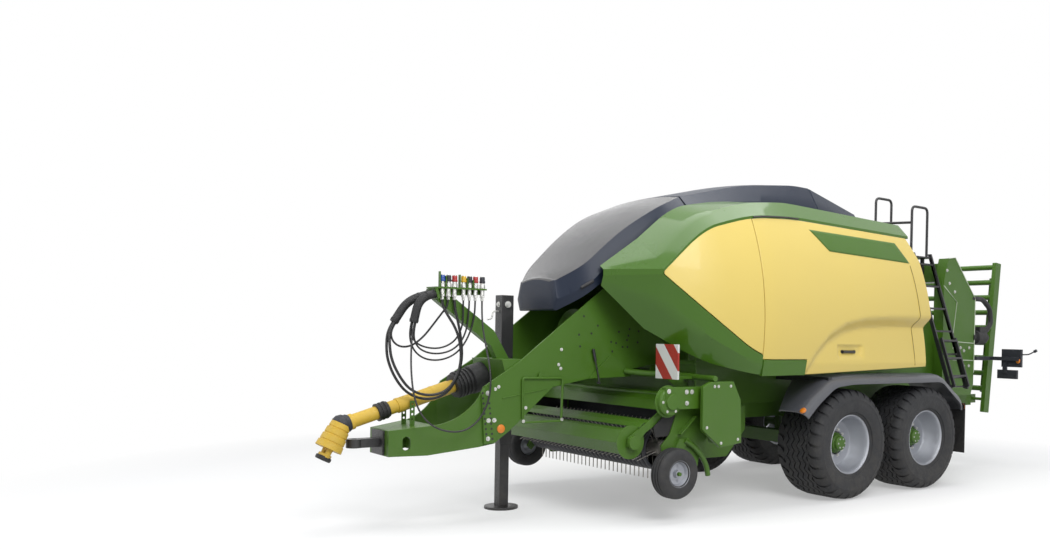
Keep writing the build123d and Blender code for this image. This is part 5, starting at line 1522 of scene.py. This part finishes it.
# Pick-up inside, and sheets that close the feeder
REEL_PLACE, BAND_REACH, BEAM_REACH, BACK_REACH = (2.990, 0.655), 0.203, 0.355, 0.345
BAND_COLUMNS, BAND_PITCH = 30, 0.070
BAND_SECTION = [
    # across, height
    (-0.0275, -0.012), (-0.0275, 0.0), (-0.012, 0.008), (0.012, 0.008), (0.0275, 0.0), (0.0275, -0.012),
]
UPPER_BEAM, LOWER_BEAM, BEAM = 145, -135, (0.036, 2.360, 0.036)
BACK_WIDE, BACK_THICK, BACK_OVERLAP = 2.350, 0.005, 0.002
FLAT_THICK, FLAT_WIDE = 0.008, 2.360
BACK_SHEETS = [
    # x, z, height
    (2.445, 1.010, 0.150), (2.560, 0.900, 0.120),
]
SIDE_FLAP = [(2.600, 0.800), (2.600, 0.960), (2.900, 1.000), (3.060, 0.990), (3.200, 0.880), (3.180, 0.780)]
SIDE_FLAP_INNER, SIDE_FLAP_OUTER = 1.164, 1.182
FEEDER_X, FEEDER_Z, FEEDER_SHEET = 2.560, 1.300, (0.010, 2.060, 0.380)
FEEDER_RIB_X, FEEDER_RIBS, FEEDER_RIB = 2.572, (1.150, 1.300, 1.460), (0.024, 2.060, 0.030)


def around_reel(reach, degrees):
    """A place (x, z) at a reach and an angle round the reel's shaft."""
    angle = math.radians(degrees)
    return REEL_PLACE[0] + reach * math.cos(angle), REEL_PLACE[1] + reach * math.sin(angle)


def band_skins():
    """Ribbed stripper bands round the reel, on their two beams."""
    path = [around_reel(BEAM_REACH, UPPER_BEAM)]
    path += [around_reel(BAND_REACH, angle) for angle in steps(89, -79, 16)]
    path.append(around_reel(BEAM_REACH, LOWER_BEAM))
    form = bmesh.new()
    for column in range(BAND_COLUMNS):
        middle = (column + 0.5 - BAND_COLUMNS / 2) * BAND_PITCH
        rows = []
        for i, (x, z) in enumerate(path):
            before, after = path[max(i - 1, 0)], path[min(i + 1, len(path) - 1)]
            out = Vector((-(after[1] - before[1]), 0, after[0] - before[0])).normalized()
            rows.append([spot(x, middle + across, z) + out * lift for across, lift in BAND_SECTION])
        sheet_grid(form, rows)
    for degrees in (UPPER_BEAM, LOWER_BEAM):
        x, z = around_reel(BEAM_REACH, degrees)
        block(form, spot(x, 0, z), BEAM)
    piece("band_skins", form, [BAND], "pickup", ["stripper_bands"], crease=40)


def pickup_sheets():
    """Curved sheet behind the reel with two flat ones over it, and the flaps at the pick-up's sides."""
    form = bmesh.new()
    curve = [around_reel(BACK_REACH, angle) for angle in steps(148, 222, 12)]
    for near, far in zip(curve, curve[1:]):
        middle = spot((near[0] + far[0]) / 2, 0, (near[1] + far[1]) / 2)
        lean = math.atan2(far[1] - near[1], far[0] - near[0])
        run = math.dist(near, far) + BACK_OVERLAP
        block(form, middle, (run, BACK_WIDE, BACK_THICK), Matrix.Rotation(-lean, 4, "Y"))
    for x, z, height in BACK_SHEETS:
        block(form, spot(x, 0, z), (FLAT_THICK, FLAT_WIDE, height))
    piece("pickup_back", form, [BAND], "pickup")
    form = bmesh.new()
    for hand in HANDS:
        slab(form, SIDE_FLAP, SIDE_FLAP_INNER, SIDE_FLAP_OUTER, hand)
    piece("pickup_side_flaps", form, [SOFT_RUBBER], "pickup", edge=0.003)


def feeder_sheet():
    """Ribbed sheet across the front of the feeder."""
    form = bmesh.new()
    block(form, spot(FEEDER_X, 0, FEEDER_Z), FEEDER_SHEET)
    for z in FEEDER_RIBS:
        block(form, spot(FEEDER_RIB_X, 0, z), FEEDER_RIB)
    piece("feeder_sheet", form, [GREEN], "chassis", edge=0.003)


TUBE_BRACKET = [(2.930, 1.338), (2.620, 1.338), (2.600, 1.240), (2.760, 1.225)]
TUBE_BRACKET_INNER, TUBE_BRACKET_OUTER = 0.960, 0.972
STRUT = [(3.000, 0.462, 1.365), (2.900, 0.640, 1.350), (2.665, 0.900, 1.340), (2.640, 1.200, 1.328)]
STRUT_R, STRUT_BEND = 0.030, 0.08


def arm_brackets():
    """Bracket sheets on the cross tube, and the bent struts from it to the plates."""
    for hand_name, hand in SIDES:
        form = bmesh.new()
        slab(form, TUBE_BRACKET, TUBE_BRACKET_INNER, TUBE_BRACKET_OUTER, hand)
        strut = [mirrored(place, hand) for place in STRUT]
        bent_tube(form, rounded(strut, STRUT_BEND), STRUT_R, 14)
        piece(f"tube_bracket_{hand_name}", form, [GREEN], "chassis", edge=0.003)


TAB_Y, TAB_FOOT, TAB_THICK, TAB_WIDE = 0.178, 2.110, 0.010, 0.034
TABS = [
    # x, top
    (4.882, 2.262), (4.822, 2.225), (4.686, 2.242), (4.610, 2.215), (4.550, 2.200),
]
RACK_BOX_PLACE, RACK_BOX = (4.800, 0.150, 2.085), (0.190, 0.012, 0.080)


def rack_fittings():
    """Green tabs between the couplings, and the box below the front of their rack."""
    form = bmesh.new()
    for x, top in TABS:
        block(form, spot(x, TAB_Y, (TAB_FOOT + top) / 2), (TAB_THICK, TAB_WIDE, top - TAB_FOOT))
    block(form, spot(*RACK_BOX_PLACE), RACK_BOX)
    piece("rack_tabs", form, [GREEN], "chassis", edge=0.003)


photo_camera()
studio()
dress_nodes()
hoses()
coupling_caps()
road_wheels()
gauge_wheels()
cowls()
front_covers()
doors()
hood_and_roof()
door_stripes()
door_fittings()
plate_fittings()
shaft_fittings()
drive_side()
fenders()
rear_fittings()
chute_rails()
rails()
jack_fittings()
band_skins()
pickup_sheets()
feeder_sheet()
arm_brackets()
rack_fittings()
